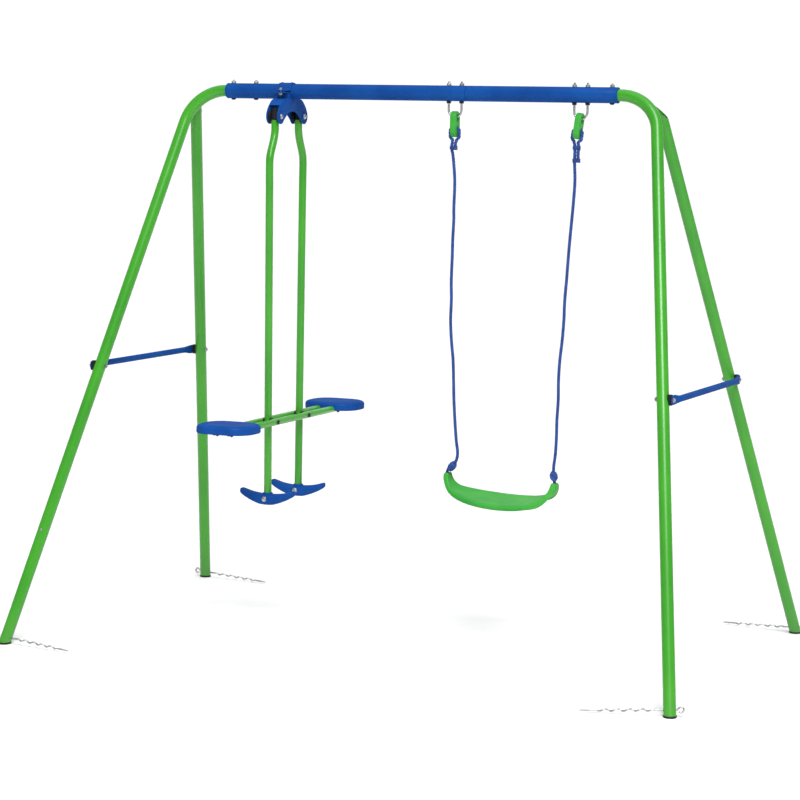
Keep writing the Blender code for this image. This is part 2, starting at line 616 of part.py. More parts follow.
lobe = [(PIVOT_Y + 0.025 * math.cos(math.radians(a)), -0.082 + 0.025 * math.sin(math.radians(a)))
        for a in (0.0, -30.0, -60.0, -90.0, -120.0, -150.0)]
half = [(0.0620, -0.0010), (0.0620, -0.0055), (0.0310, -0.0055), (0.0310, -0.0220), (0.0600, -0.0255),
        (0.0760, -0.0320), (0.0965, -0.0500), (0.1085, -0.0680)] + lobe + [(0.0300, -0.0700)]
mirrored = [(-y, z) for y, z in reversed(half)]
bracket_outline = half + mirrored + arc(BEAM_R + GAP, 182.3, 357.7, 14)
bracket = add("glider_bracket", extruded(bracket_outline, GLIDER_X - CHEEK_OUT, GLIDER_X + CHEEK_OUT),
              BLUE_PAINT, (GLIDER_X, 0.0, BEAM_Z))
inside = [(0.0, -0.0320), (0.0340, -0.0290), (0.0590, -0.0290), (0.0742, -0.0352), (0.0860, -0.0458),
          (0.1400, -0.0458), (0.1400, -0.1500)]
inside_outline = inside + [(-y, z) for y, z in reversed(inside[1:])]
boolean(bracket, cutter("cut_bracket_inside", extruded(inside_outline, GLIDER_X - CHEEK_IN,
                                                        GLIDER_X + CHEEK_IN)))
pins = bmesh.new()
for sy in (-1, 1):
    drill(pins, (GLIDER_X, sy * PIVOT_Y, PIVOT_Z), X_AXIS, 0.0046, 0.06)
    drill(pins, (GLIDER_X, sy * 0.048, BEAM_Z - 0.002), Z_AXIS, 0.0042, 0.016)
clamp_pins = cutter("cut_clamp_pins", pins)
boolean(bracket, clamp_pins)
boolean(strap, clamp_pins)

for sy, end in ((-1, "front"), (1, "rear")):
    bolt("clamp_bolt_" + end, (GLIDER_X, sy * 0.048, BEAM_Z + 0.0045 + GAP), -Z_AXIS,
         0.0103 + GAP, 0.0035, (0.0075, 0.0048), (0.0070, 0.0058), 0.0045)

# ---- glider arms, rails, seats and footrests ----------------------------------------------------
rail_tool = bmesh.new()
for sy in (-1, 1):
    drill(rail_tool, (GLIDER_X, sy * RAIL_Y, RAIL_Z), X_AXIS, 0.0046, 0.10)
rail_pins = cutter("cut_rail_pins", rail_tool)
# the rear hole of each rail is a slot, so the rear arm can follow its own arc
rail_tool = skin([[Vector((x, RAIL_Y + v, RAIL_Z + u)) for u, v in slotted(0.0046, RAIL_SLOT)]
                  for x in (GLIDER_X - 0.05, GLIDER_X + 0.05)])
drill(rail_tool, (GLIDER_X, -RAIL_Y, RAIL_Z), X_AXIS, 0.0046, 0.10)
rail_holes = cutter("cut_rail_holes", rail_tool)

for sy, end, axis in ((-1, "front", front_axis), (1, "rear", rear_axis)):
    bend = [(0.0870, 1.7220), (0.0870, 1.6560), (0.0905, 1.6380), (0.0980, 1.6180), (0.1090, 1.5965),
            (0.1185, 1.5770), (ARM_BEND_Y, 1.5500), (ARM_END_Y, ARM_END_Z)]
    route = [Vector((GLIDER_X, sy * y, z)) for y, z in bend]
    tube = add("glider_arm_" + end, path_tube(route, ARM_R, 12, False), GREEN_PAINT,
               (GLIDER_X, sy * PIVOT_Y, PIVOT_Z))
    hollow(tube, ARM_WALL)
    sleeve = bmesh.new()
    drill(sleeve, (GLIDER_X, sy * PIVOT_Y, PIVOT_Z), X_AXIS, 0.0085, 2.0 * (CHEEK_IN - GAP), 12)
    boolean(tube, cutter("join_pivot_sleeve_" + end, sleeve), "UNION")
    pins = bmesh.new()
    drill(pins, (GLIDER_X, sy * PIVOT_Y, PIVOT_Z), X_AXIS, 0.0046, 0.06)
    drill(pins, (GLIDER_X, sy * RAIL_Y, RAIL_Z), X_AXIS, 0.0046, 0.04)
    drill(pins, (GLIDER_X, sy * ARM_END_Y, FOOTREST_BOLT_Z), Y_AXIS, 0.0036, 0.04)
    boolean(tube, cutter("cut_arm_" + end, pins))

    pivot_bolt = bolt("glider_pivot_bolt_" + end, (GLIDER_X + CHEEK_OUT + GAP, sy * PIVOT_Y, PIVOT_Z), -X_AXIS,
                      2.0 * (CHEEK_OUT + GAP), 0.0040, (0.0085, 0.0052), (0.0075, 0.0065), 0.0040,
                      round_head=True)
    rail_bolt = bolt("rail_bolt_" + end, (GLIDER_X + RAIL_X + RAIL_R + GAP, sy * RAIL_Y, RAIL_Z), -X_AXIS,
                     2.0 * (RAIL_X + RAIL_R + GAP), 0.0040, (0.0080, 0.0050), (0.0075, 0.0065), 0.0040,
                     mat=BLACK_PLASTIC)

    spacers = []
    for sx, side in ((-1, "left"), (1, "right")):
        shape = bmesh.new()
        faces_x = sorted((GLIDER_X + sx * 0.0080, GLIDER_X + sx * 0.0142))
        block(shape, (faces_x[0], sy * RAIL_Y - 0.0118, RAIL_Z - 0.0115),
              (faces_x[1], sy * RAIL_Y + 0.0118, RAIL_Z + 0.0115))
        spacer = add("rail_spacer_%s_%s" % (end, side), shape, BLACK_PLASTIC,
                     (GLIDER_X, sy * RAIL_Y, RAIL_Z))
        pins = bmesh.new()
        drill(pins, (GLIDER_X, sy * RAIL_Y, RAIL_Z), route[-1] - route[-2], ARM_R + GAP, 0.06, 20)
        boolean(spacer, cutter("cut_spacer_arm_%s_%s" % (end, side), pins))
        boolean(spacer, rail_pins)
        spacers.append(spacer)

    # boomerang footrest with a socket for the arm
    rings = []
    wing = ((0.0970, 0.4675, 0.0100, 0.0055), (0.0930, 0.4660, 0.0170, 0.0088),
            (0.0810, 0.4600, 0.0215, 0.0110), (0.0600, 0.4520, 0.0235, 0.0135),
            (0.0330, 0.4450, 0.0265, 0.0165), (0.0150, 0.4430, 0.0280, 0.0180))
    for u, z, a, b in [(-u, z, a, b) for u, z, a, b in wing] + list(reversed(wing)):
        points = []
        for k in range(12):
            c = math.cos(math.tau * (k + 0.5) / 12)
            s = math.sin(math.tau * (k + 0.5) / 12)
            y = math.copysign(abs(c) ** 0.7, c) * a
            v = math.copysign(abs(s) ** 0.7, s) * b
            points.append(Vector((GLIDER_X + u, sy * ARM_END_Y + y, z + v)))
        rings.append(points)
    footrest = add("footrest_" + end, skin(rings), BLUE_PLASTIC, (GLIDER_X, sy * ARM_END_Y, ARM_END_Z))
    pins = bmesh.new()
    drill(pins, (GLIDER_X, sy * (ARM_END_Y + 0.0001), ARM_END_Z + 0.0295), route[-2] - route[-1],
          ARM_R + GAP + 0.0001, 0.060, 18)
    boolean(footrest, cutter("cut_footrest_socket_" + end, pins))
    pins = bmesh.new()
    drill(pins, (GLIDER_X, sy * ARM_END_Y, FOOTREST_BOLT_Z), Y_AXIS, 0.0036, 0.10)
    boolean(footrest, cutter("cut_footrest_pin_" + end, pins))
    footrest_bolt = bolt("footrest_bolt_" + end, (GLIDER_X, sy * ARM_END_Y - 0.0278, FOOTREST_BOLT_Z), Y_AXIS,
                         0.0556, 0.0030, (0.0078, 0.0045), (0.0068, 0.0055), 0.0030, round_head=True)
    hang([tube, rail_bolt, footrest, footrest_bolt] + spacers, axis)

for sx, side in ((-1, "left"), (1, "right")):
    rail = add("seat_rail_" + side, lathe((GLIDER_X + sx * RAIL_X, 0.0, RAIL_Z), Y_AXIS, (
        (-RAIL_HALF, RAIL_R), (RAIL_HALF, RAIL_R), (RAIL_HALF, RAIL_R - 0.0013),
        (-RAIL_HALF, RAIL_R - 0.0013)), 14, True), GREEN_PAINT, (GLIDER_X + sx * RAIL_X, 0.0, RAIL_Z))
    boolean(rail, rail_holes)
    hang((rail,), seats_axis)

for sy, end in ((-1, "front"), (1, "rear")):
    rings = []
    for z, inset, corner in ((0.6945, 0.0020, 0.0640), (0.7010, 0.0000, 0.0660), (0.7115, 0.0000, 0.0660),
                             (0.7175, 0.0028, 0.0640), (0.7210, 0.0100, 0.0580), (0.7235, 0.0260, 0.0440)):
        outline = rounded(SEAT_W - 2.0 * inset, SEAT_D - 2.0 * inset, corner, 6)
        rings.append([Vector((GLIDER_X + u, sy * SEAT_Y + v, z)) for u, v in outline])
    seat = add("glider_seat_" + end, skin(rings), BLUE_PLASTIC, (GLIDER_X, sy * SEAT_Y, RAIL_Z))
    outline = rounded(SEAT_W - 0.010, SEAT_D - 0.010, 0.0610, 6)
    pocket = skin([[Vector((GLIDER_X + u, sy * SEAT_Y + v, z)) for u, v in outline] for z in (0.680, 0.7115)])
    boolean(seat, cutter("cut_seat_pocket_" + end, pocket))
    notch = bmesh.new()
    inner = sorted((sy * (SEAT_Y - SEAT_D / 2.0 - 0.010), sy * (SEAT_Y - SEAT_D / 2.0 + 0.012)))
    for sx in (-1, 1):
        x = GLIDER_X + sx * RAIL_X
        block(notch, (x - RAIL_R - 0.0008, inner[0], 0.680), (x + RAIL_R + 0.0008, inner[1], 0.7115))
    boolean(seat, cutter("cut_seat_notch_" + end, notch))
    hang((seat,), seats_axis)
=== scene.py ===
"""Looks of the garden swing set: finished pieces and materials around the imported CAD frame."""
import math

import bmesh
import bpy
import numpy as np
from mathutils import Matrix, Vector


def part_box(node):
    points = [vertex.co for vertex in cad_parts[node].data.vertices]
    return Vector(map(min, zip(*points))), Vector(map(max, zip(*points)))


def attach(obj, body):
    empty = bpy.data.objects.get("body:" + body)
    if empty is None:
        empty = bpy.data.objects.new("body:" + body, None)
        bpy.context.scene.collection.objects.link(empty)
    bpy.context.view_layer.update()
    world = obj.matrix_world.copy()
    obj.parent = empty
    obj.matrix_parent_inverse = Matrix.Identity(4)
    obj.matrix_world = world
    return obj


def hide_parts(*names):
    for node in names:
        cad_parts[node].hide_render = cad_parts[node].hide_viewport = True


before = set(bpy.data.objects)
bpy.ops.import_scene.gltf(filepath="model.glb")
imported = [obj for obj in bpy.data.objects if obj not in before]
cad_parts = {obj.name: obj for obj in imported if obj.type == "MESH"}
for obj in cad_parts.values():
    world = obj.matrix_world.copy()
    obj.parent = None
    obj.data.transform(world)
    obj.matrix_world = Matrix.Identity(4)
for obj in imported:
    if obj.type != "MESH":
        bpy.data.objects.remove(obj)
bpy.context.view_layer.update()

# ---- driving sizes, the same as the frame's, in metres ----
BEAM_Z = 1.78
BEAM_R = 0.025
BEAM_END = 0.678
BEAM_SEAM = 0.173
LEG_R = 0.019
CORNER_X = 0.804
FOOT_X = 1.118
FOOT_Y = 0.69
ELBOW_R = 0.135
INSERT_X = 0.6
FOOT_PAD = 0.005
BUTTON_Z = 0.352
SLANT = (0.695, 0.719)
SLANT_X = 0.8104
SLANT_Z = 1.734
CROSSBAR_Z = 0.878
ANCHOR_Z = 0.02
ANCHOR_R = 0.003
ANCHOR_EYE_R = 0.008
ANCHOR_TURNS = 5
ANCHOR_PITCH = 0.0355
ANCHOR_TIPS = {(-1, -1): (-0.816, -0.736), (1, -1): (0.869, -0.746),
               (-1, 1): (-0.857, 0.66), (1, 1): (0.843, 0.722)}
HANGER_X = (0.133, 0.5585)
HANGER_BEND = 0.022
HANGER_BOTTOM = 1.705
HANGER_R = 0.00375
HANGER_TOP = 1.818
CONNECTOR_TILT = (0.0, math.radians(8.0))
CONNECTOR_EYE = 0.0355
ROPE_D = 0.0104
KNOT_Z = (0.5805, 0.571)
GLIDER_X = -0.464
PIVOT_Y = 0.087
PIVOT_Z = 1.698
ARM_R = 0.0125
ARM_END_Y = 0.1149
ARM_END_Z = 0.432
RAIL_X = 0.0255
RAIL_R = 0.011
RAIL_Y = 0.1172
RAIL_Z = 0.7
RAIL_HALF = 0.45
CHEEK_OUT = 0.0215
CHEEK_IN = 0.018
CLAMP_Y = 0.048
SEAT_Y = 0.4
SEAT_W = 0.197
SEAT_D = 0.165

X_AXIS = Vector((1.0, 0.0, 0.0))
Y_AXIS = Vector((0.0, 1.0, 0.0))
Z_AXIS = Vector((0.0, 0.0, 1.0))
SIDES = ((-1, "left"), (1, "right"))
ENDS = ((-1, "front"), (1, "rear"))


# ---- camera, light and floor ----
def set_camera():
    """Long lens slightly right of centre, at about the height of the beam."""
    yaw, pitch, roll = (math.radians(a) for a in (23.524, -6.317, 0.876))
    ahead = Vector((-math.sin(yaw) * math.cos(pitch), math.cos(yaw) * math.cos(pitch), math.sin(pitch)))
    right = Vector((math.cos(yaw), math.sin(yaw), 0.0))
    above = right.cross(ahead)
    side = right * math.cos(roll) + above * math.sin(roll)
    up = above * math.cos(roll) - right * math.sin(roll)
    lens = bpy.data.cameras.new("photo_camera")
    lens.sensor_width = 36.0
    lens.lens = 117.15
    camera = bpy.data.objects.new("photo_camera", lens)
    turn = Matrix((side, up, -ahead)).transposed().to_4x4()
    camera.matrix_world = Matrix.Translation((3.324, -7.736, 1.719)) @ turn
    bpy.context.scene.collection.objects.link(camera)
    bpy.context.scene.camera = camera


def add_light(name, kind, place, target, energy, size):
    """Lamp at a place that faces a target; size is (width, height) or, for a sun, its angle."""
    data = bpy.data.lights.new(name, kind)
    data.energy = energy
    if kind == "SUN":
        data.angle = math.radians(size)
    else:
        data.shape = "RECTANGLE"
        data.size, data.size_y = size
    lamp = bpy.data.objects.new(name, data)
    lamp.location = place
    lamp.rotation_euler = (Vector(target) - Vector(place)).to_track_quat("-Z", "Y").to_euler()
    bpy.context.scene.collection.objects.link(lamp)


def add_node(tree, kind, **values):
    """Shader node with input values; an underscore in a key stands for the space in the input's name."""
    made = tree.nodes.new(kind)
    for key, value in values.items():
        made.inputs[key.replace("_", " ")].default_value = value
    return made


def set_stage():
    """White studio: bright overhead and behind the swing set, dimmer at the sides, with a wide softbox."""
    world = bpy.data.worlds.new("studio")
    world.use_nodes = True
    tree = world.node_tree
    around = tree.nodes.new("ShaderNodeTexCoord").outputs["Generated"]
    facing = tree.nodes.new("ShaderNodeVectorMath")
    facing.operation = "DOT_PRODUCT"
    facing.inputs[1].default_value = (-0.399, 0.917, 0.0)
    backdrop = add_node(tree, "ShaderNodeMapRange", From_Min=0.45, From_Max=0.94, To_Min=0.3, To_Max=1.06)
    parts = tree.nodes.new("ShaderNodeSeparateXYZ")
    overhead = add_node(tree, "ShaderNodeMapRange", From_Min=0.5, From_Max=0.88, To_Min=0.0, To_Max=1.05)
    brighter = tree.nodes.new("ShaderNodeMath")
    brighter.operation = "MAXIMUM"
    background = tree.nodes["Background"]
    background.inputs["Color"].default_value = (1.0, 1.0, 1.0, 1.0)
    for out, into in ((around, facing.inputs[0]), (facing.outputs["Value"], backdrop.inputs["Value"]),
                      (around, parts.inputs[0]), (parts.outputs["Z"], overhead.inputs["Value"]),
                      (backdrop.outputs["Result"], brighter.inputs[0]),
                      (overhead.outputs["Result"], brighter.inputs[1]),
                      (brighter.outputs[0], background.inputs["Strength"])):
        tree.links.new(out, into)
    bpy.context.scene.world = world
    bpy.context.scene.view_settings.view_transform = "Standard"
    add_light("soft_sun", "SUN", (1.9, -3.0, 5.0), (0.0, 0.0, 0.0), 1.9, 30.0)
    add_light("softbox", "AREA", (2.8, -4.45, 5.25), (1.05, -0.25, 1.2), 170.0, (3.2, 1.0))
    bpy.ops.mesh.primitive_plane_add(size=160.0, location=(0.0, 0.0, 0.0))
    floor = bpy.context.object
    floor.name = "studio_floor"
    floor.data.materials.append(finish("floor_white", (0.93, 0.93, 0.93), (0.91, 0.91, 0.91), (0.8, 0.9)))


# ---- materials ----
def finish(name, light, dark, rough, metallic=0.0, coat=0.0, grain=(900.0, 0.0), patch=6.0,
           scratch=0.0, dust=0.0, stretch=(1.0, 1.0, 1.0), sheen=0.0, gleam=0.35):
    """Procedural surface: colour that drifts between two tones, uneven gloss, fine grain and scuffs."""
    mat = bpy.data.materials.new(name)
    mat.use_nodes = True
    tree = mat.node_tree
    links = tree.links
    shader = tree.nodes["Principled BSDF"]
    coords = tree.nodes.new("ShaderNodeTexCoord").outputs["Object"]
    squeeze = add_node(tree, "ShaderNodeMapping", Scale=stretch)
    links.new(coords, squeeze.inputs["Vector"])

    def noise(scale, detail, vector=coords):
        made = add_node(tree, "ShaderNodeTexNoise", Scale=scale, Detail=detail)
        links.new(vector, made.inputs["Vector"])
        return made.outputs["Fac"]

    def remap(value, low, high, to_low, to_high):
        made = add_node(tree, "ShaderNodeMapRange", From_Min=low, From_Max=high,
                        To_Min=to_low, To_Max=to_high)
        links.new(value, made.inputs["Value"])
        return made.outputs["Result"]

    def blend(amount, first, second):
        made = tree.nodes.new("ShaderNodeMix")
        made.data_type = "RGBA"
        links.new(amount, made.inputs["Factor"])
        for socket, value in ((made.inputs["A"], first), (made.inputs["B"], second)):
            if isinstance(value, tuple):
                socket.default_value = (*value, 1.0)
            else:
                links.new(value, socket)
        return made.outputs["Result"]

    colour = blend(remap(noise(patch, 4.0), 0.35, 0.65, 0.0, 1.0), dark, light)
    gloss = remap(noise(patch * 7.0, 6.0), 0.3, 0.7, rough[0], rough[1])
    if scratch:
        marks = remap(noise(260.0, 8.0, squeeze.outputs[0]), 0.66, 0.72, 0.0, scratch)
        paler = tuple(min(1.0, c * 1.25 + 0.06) for c in light)
        colour = blend(marks, colour, paler)
    if dust:
        heights = tree.nodes.new("ShaderNodeSeparateXYZ")
        links.new(coords, heights.inputs[0])
        near_ground = remap(heights.outputs["Z"], 0.0, 0.16, dust, 0.0)
        colour = blend(near_ground, colour, (0.3, 0.27, 0.22))
    links.new(colour, shader.inputs["Base Color"])
    links.new(gloss, shader.inputs["Roughness"])
    for key, value in (("Metallic", metallic), ("Specular IOR Level", gleam), ("Coat Weight", coat),
                       ("Coat Roughness", 0.26), ("Sheen Weight", sheen)):
        shader.inputs[key].default_value = value
    if grain[1]:
        bump = add_node(tree, "ShaderNodeBump", Strength=grain[1], Distance=0.0004)
        links.new(noise(grain[0], 3.0, squeeze.outputs[0]), bump.inputs["Height"])
        links.new(bump.outputs["Normal"], shader.inputs["Normal"])
    return mat


def rope_finish():
    """Laid polypropylene: fine fibres run along each strand."""
    mat = finish("rope_blue", (0.014, 0.075, 0.33), (0.007, 0.04, 0.21), (0.55, 0.8),
                 sheen=0.15, patch=60.0)
    tree = mat.node_tree
    uv = tree.nodes.new("ShaderNodeUVMap")
    uv.uv_map = "strand"
    wave = add_node(tree, "ShaderNodeTexWave", Scale=9.0, Distortion=2.2, Detail=3.0, Detail_Scale=2.0)
    wave.bands_direction = "Y"
    bump = add_node(tree, "ShaderNodeBump", Strength=0.55, Distance=0.0006)
    tree.links.new(uv.outputs["UV"], wave.inputs["Vector"])
    tree.links.new(wave.outputs["Fac"], bump.inputs["Height"])
    tree.links.new(bump.outputs["Normal"], tree.nodes["Principled BSDF"].inputs["Normal"])
    return mat


GREEN_PAINT = finish("paint_green", (0.046, 0.318, 0.016), (0.032, 0.264, 0.014), (0.3, 0.44), coat=0.95,
                     grain=(420.0, 0.05), patch=5.0, scratch=0.08, dust=0.08, gleam=0.0)
BLUE_PAINT = finish("paint_blue", (0.007, 0.066, 0.28), (0.005, 0.048, 0.222), (0.3, 0.46), coat=0.12,
                    grain=(420.0, 0.05), patch=7.0, scratch=0.08, gleam=0.0)
GREEN_PLASTIC = finish("plastic_green", (0.048, 0.345, 0.046), (0.03, 0.28, 0.038), (0.34, 0.5), coat=0.3,
                       grain=(1500.0, 0.14), patch=11.0, scratch=0.06, gleam=0.0)
BLUE_PLASTIC = finish("plastic_blue", (0.008, 0.068, 0.295), (0.006, 0.05, 0.236), (0.36, 0.54), coat=0.1,
                      grain=(1500.0, 0.14), patch=11.0, scratch=0.06, gleam=0.0)
BLACK_PLASTIC = finish("plastic_black", (0.016, 0.016, 0.018), (0.008, 0.008, 0.01), (0.45, 0.65),
                       grain=(1300.0, 0.18), patch=20.0, scratch=0.06, dust=0.04, gleam=0.12)
ZINC = finish("steel_zinc", (0.5, 0.51, 0.52), (0.3, 0.31, 0.33), (0.26, 0.46), metallic=1.0,
              grain=(700.0, 0.1), patch=90.0, scratch=0.25, stretch=(1.0, 1.0, 0.15))
WIRE_STEEL = finish("steel_anchor", (0.66, 0.67, 0.68), (0.4, 0.41, 0.42), (0.26, 0.48), metallic=1.0,
                    grain=(800.0, 0.12), patch=70.0, scratch=0.25, dust=0.1)
BLACK_STEEL = finish("steel_black", (0.026, 0.026, 0.029), (0.012, 0.012, 0.014), (0.3, 0.5), metallic=0.4,
                     grain=(900.0, 0.12), patch=80.0, scratch=0.15)
ROPE_BLUE = rope_finish()


# ---- pieces ----
def plain(name, shells, uv=None):
    """Mesh object made of shells of (points, faces), with no material yet."""
    points = []
    faces = []
    for shell_points, shell_faces in shells:
        base = len(points)
        points.extend(tuple(map(float, p)) for p in shell_points)
        faces.extend([tuple(base + i for i in face) for face in shell_faces])
    mesh = bpy.data.meshes.new(name)
    mesh.from_pydata(points, [], faces)
    if uv is not None:
        layer = mesh.uv_layers.new(name="strand")
        for loop in mesh.loops:
            layer.data[loop.index].uv = uv[loop.vertex_index]
    bm = bmesh.new()
    bm.from_mesh(mesh)
    bmesh.ops.recalc_face_normals(bm, faces=bm.faces)
    bm.to_mesh(mesh)
    bm.free()
    obj = bpy.data.objects.new(name, mesh)
    bpy.context.scene.collection.objects.link(obj)
    return obj


def dress(obj, mat, *nodes, body="frame", sharp=35.0):
    """Give a mesh object its material, shading and body, and hide the CAD nodes that it stands in for."""
    obj.data.materials.clear()
    obj.data.materials.append(mat)
    obj.data.shade_smooth()
    obj.data.set_sharp_from_angle(angle=math.radians(sharp))
    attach(obj, body)
    if nodes:
        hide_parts(*nodes)
    return obj


def build(name, shells, mat, *nodes, body="frame", sharp=35.0, uv=None):
    """Make one finished piece from shells."""
    return dress(plain(name, shells, uv), mat, *nodes, body=body, sharp=sharp)


def carve(obj, tools, bevel=0.0, angle=40.0):
    """Cut the tools out of a piece, then round the edges the cuts leave."""
    for tool in tools:
        step = obj.modifiers.new("cut", "BOOLEAN")
        step.operation = "DIFFERENCE"
        step.solver = "EXACT"
        step.object = tool
    if bevel:
        step = obj.modifiers.new("edges", "BEVEL")
        step.width = bevel
        step.segments = 3
        step.limit_method = "ANGLE"
        step.angle_limit = math.radians(angle)
    graph = bpy.context.evaluated_depsgraph_get()
    mesh = bpy.data.meshes.new_from_object(obj.evaluated_get(graph))
    obj.modifiers.clear()
    obj.data = mesh
    for tool in tools:
        bpy.data.objects.remove(tool, do_unlink=True)
    return obj


# ---- shells ----
def unit(vector):
    """Vector of length one."""
    vector = np.array(vector, float)
    return vector / np.linalg.norm(vector)


def circle(count):
    """(cosine, sine) pairs once round."""
    return [(math.cos(math.tau * k / count), math.sin(math.tau * k / count)) for k in range(count)]


def rounded(width, height, radius, per_corner=10):
    """Rounded rectangle outline as (u, v) pairs."""
    points = []
    for cu, cv, begin in ((1, 1, 0.0), (-1, 1, 90.0), (-1, -1, 180.0), (1, -1, 270.0)):
        for j in range(per_corner):
            angle = math.radians(begin + 90.0 * j / (per_corner - 1))
            points.append((cu * (width / 2.0 - radius) + radius * math.cos(angle),
                           cv * (height / 2.0 - radius) + radius * math.sin(angle)))
    return points


def smooth(points, step=None, count=1):
    """Catmull-Rom route through points, with a point for each step or with count points for each gap."""
    pts = [np.array(p, float) for p in points]
    out = [pts[0]]
    for k in range(len(pts) - 1):
        before = pts[max(k - 1, 0)]
        a = pts[k]
        b = pts[k + 1]
        after = pts[min(k + 2, len(pts) - 1)]
        parts = count if step is None else max(1, round(float(np.linalg.norm(b - a)) / step))
        for j in range(1, parts + 1):
            t = j / parts
            out.append(0.5 * (2.0 * a + (b - before) * t
                              + (2.0 * before - 5.0 * a + 4.0 * b - after) * t * t
                              + (3.0 * a - before - 3.0 * b + after) * t * t * t))
    return out


def carry(points):
    """Points with side and up vectors that turn as little as possible along a route."""
    pts = np.array(points, float)
    tangents = np.gradient(pts, axis=0)
    tangents /= np.linalg.norm(tangents, axis=1)[:, None]
    side = np.cross(tangents[0], (0.0, 1.0, 0.0))
    if np.linalg.norm(side) < 0.3:
        side = np.cross(tangents[0], (1.0, 0.0, 0.0))
    sides = []
    for tangent in tangents:
        side = unit(side - tangent * side.dot(tangent))
        sides.append(side)
    sides = np.array(sides)
    return pts, sides, np.cross(tangents, sides)


def skin(rings, closed=False):
    """Faces over equal rings, capped by a fan at each end unless closed in a loop."""
    count = len(rings[0])
    total = len(rings)
    points = [p for ring in rings for p in ring]
    faces = []
    for row in range(total if closed else total - 1):
        a = row * count
        b = ((row + 1) % total) * count
        for k in range(count):
            n = (k + 1) % count
            faces.append((a + k, a + n, b + n, b + k))
    if not closed:
        for row in (0, total - 1):
            points.append(np.mean(np.array(rings[row], float), axis=0))
            hub = len(points) - 1
            for k in range(count):
                faces.append((row * count + k, row * count + (k + 1) % count, hub))
    return points, faces


def hoops(points, radii, sides=32, squash=None):
    """Rings round a route; radii is one number or one for each point, squash widens each ring."""
    pts, across, up = carry(points)
    radii = np.broadcast_to(np.array(radii, float), (len(pts),))
    rings = []
    for k in range(len(pts)):
        wide = 1.0 if squash is None else squash[k]
        rings.append([pts[k] + radii[k] * (across[k] * c * wide + up[k] * s / wide)
                      for c, s in circle(sides)])
    return rings


def sweep(points, radii, sides=32):
    """Round tube along a route."""
    return skin(hoops(points, radii, sides))


def rod(points, radius, edge=0.0006, sides=32):
    """Round bar along a route with small rounded edges at both ends."""
    pts = [np.array(p, float) for p in points]
    first = unit(pts[1] - pts[0])
    last = unit(pts[-2] - pts[-1])
    turn = np.linspace(0.0, math.pi / 2.0, 4)
    start = [pts[0] + first * edge * (1.0 - math.cos(a)) for a in turn]
    end = [pts[-1] + last * edge * (1.0 - math.cos(a)) for a in reversed(turn)]
    rim = [radius - edge * (1.0 - math.sin(a)) for a in turn]
    return sweep(start + pts[1:-1] + end, rim + [radius] * (len(pts) - 2) + rim[::-1], sides)


def turned(start, direction, profile, sides=36, flat=None):
    """Solid of revolution from (distance, radius) pairs, with six flats where flat is their distance."""
    axis = Vector(direction).normalized()
    turn = axis.to_track_quat("Z", "Y").to_matrix()
    rings = []
    for distance, radius in profile:
        ring = []
        for k in range(sides):
            angle = math.tau * k / sides
            reach = radius
            if flat:
                off_flat = (angle + math.pi / 6.0) % (math.pi / 3.0) - math.pi / 6.0
                reach = min(radius, flat / math.cos(off_flat))
            ring.append(Vector(start) + axis * distance
                        + turn @ Vector((reach * math.cos(angle), reach * math.sin(angle), 0.0)))
        rings.append(ring)
    return skin(rings)


def peg(start, direction, radius, length, sides=24):
    """Plain round shank."""
    return turned(start, direction, ((0.0, radius), (length, radius)), sides)


def hexagon(start, direction, across_flats, height):
    """Hexagonal nut or head with the round chamfers of a real one."""
    flat = across_flats / 2.0
    chamfer = 0.12 * height
    levels = ((0.0, 0.96), (chamfer * 0.6, 1.06), (chamfer * 1.5, 1.16), (height - chamfer * 1.5, 1.16),
              (height - chamfer * 0.6, 1.06), (height, 0.96), (height, 0.62), (height - 0.0005, 0.58))
    return turned(start, direction, [(distance, flat * limit) for distance, limit in levels], 36, flat)


def dome(start, direction, radius, height):
    """Round button head standing on start and rising against the direction of its shank."""
    profile = [(0.0, radius * 0.97), (-0.0004, radius)]
    for a in np.linspace(0.0, math.pi / 2.0, 9):
        profile.append((-0.0008 - (height - 0.0008) * math.sin(a), max(radius * math.cos(a), 0.0004)))
    return turned(start, direction, profile)


def washer(start, direction, radius, thick=0.0013):
    """Flat washer with softened edges."""
    return turned(start, direction, ((0.0, radius - 0.0003), (0.0003, radius), (thick - 0.0003, radius),
                                     (thick, radius - 0.0003)))


def thread(start, direction, radius, length, pitch=0.00125):
    """Threaded shank end: one crest and one root for each pitch, with a pointed lead."""
    profile = []
    for k in range(max(2, int(length / pitch))):
        profile.append((k * pitch, radius * 0.88))
        profile.append(((k + 0.5) * pitch, radius))
    profile += [(length - 0.0006, radius * 0.86), (length, radius * 0.7)]
    return turned(start, direction, profile, 24)


def nut(face, way, wide, high, washer_r, gap=0.0012):
    """Washer on a face and the hexagon nut on it."""
    return [washer(face, way, washer_r), hexagon(face + way * gap, way, wide, high)]


def slab(name, outline, low_x, high_x):
    """Flat-sided piece with a (y, z) outline between two X positions."""
    count = len(outline)
    points = [(x, y, z) for x in (low_x, high_x) for y, z in outline]
    faces = [tuple(reversed(range(count))), tuple(range(count, 2 * count))]
    for k in range(count):
        n = (k + 1) % count
        faces.append((k, n, count + n, count + k))
    return plain(name, [(points, faces)])


def pad(name, node, centre, sx, size, corner, depths, tube, body="frame"):
    """Black block beside a tube, hollowed to fit it; depths gives (distance from the axis, inset) pairs."""
    width, height = size
    rings = [[centre + Vector((sx * depth, u * (1.0 - 2.0 * inset / width), v * (1.0 - 2.0 * inset / height)))
              for u, v in rounded(width, height, corner, 8)] for depth, inset in depths]
    piece = carve(plain(name, [skin(rings)]), [plain("tool", [tube])])
    dress(piece, BLACK_PLASTIC, node, body=body)


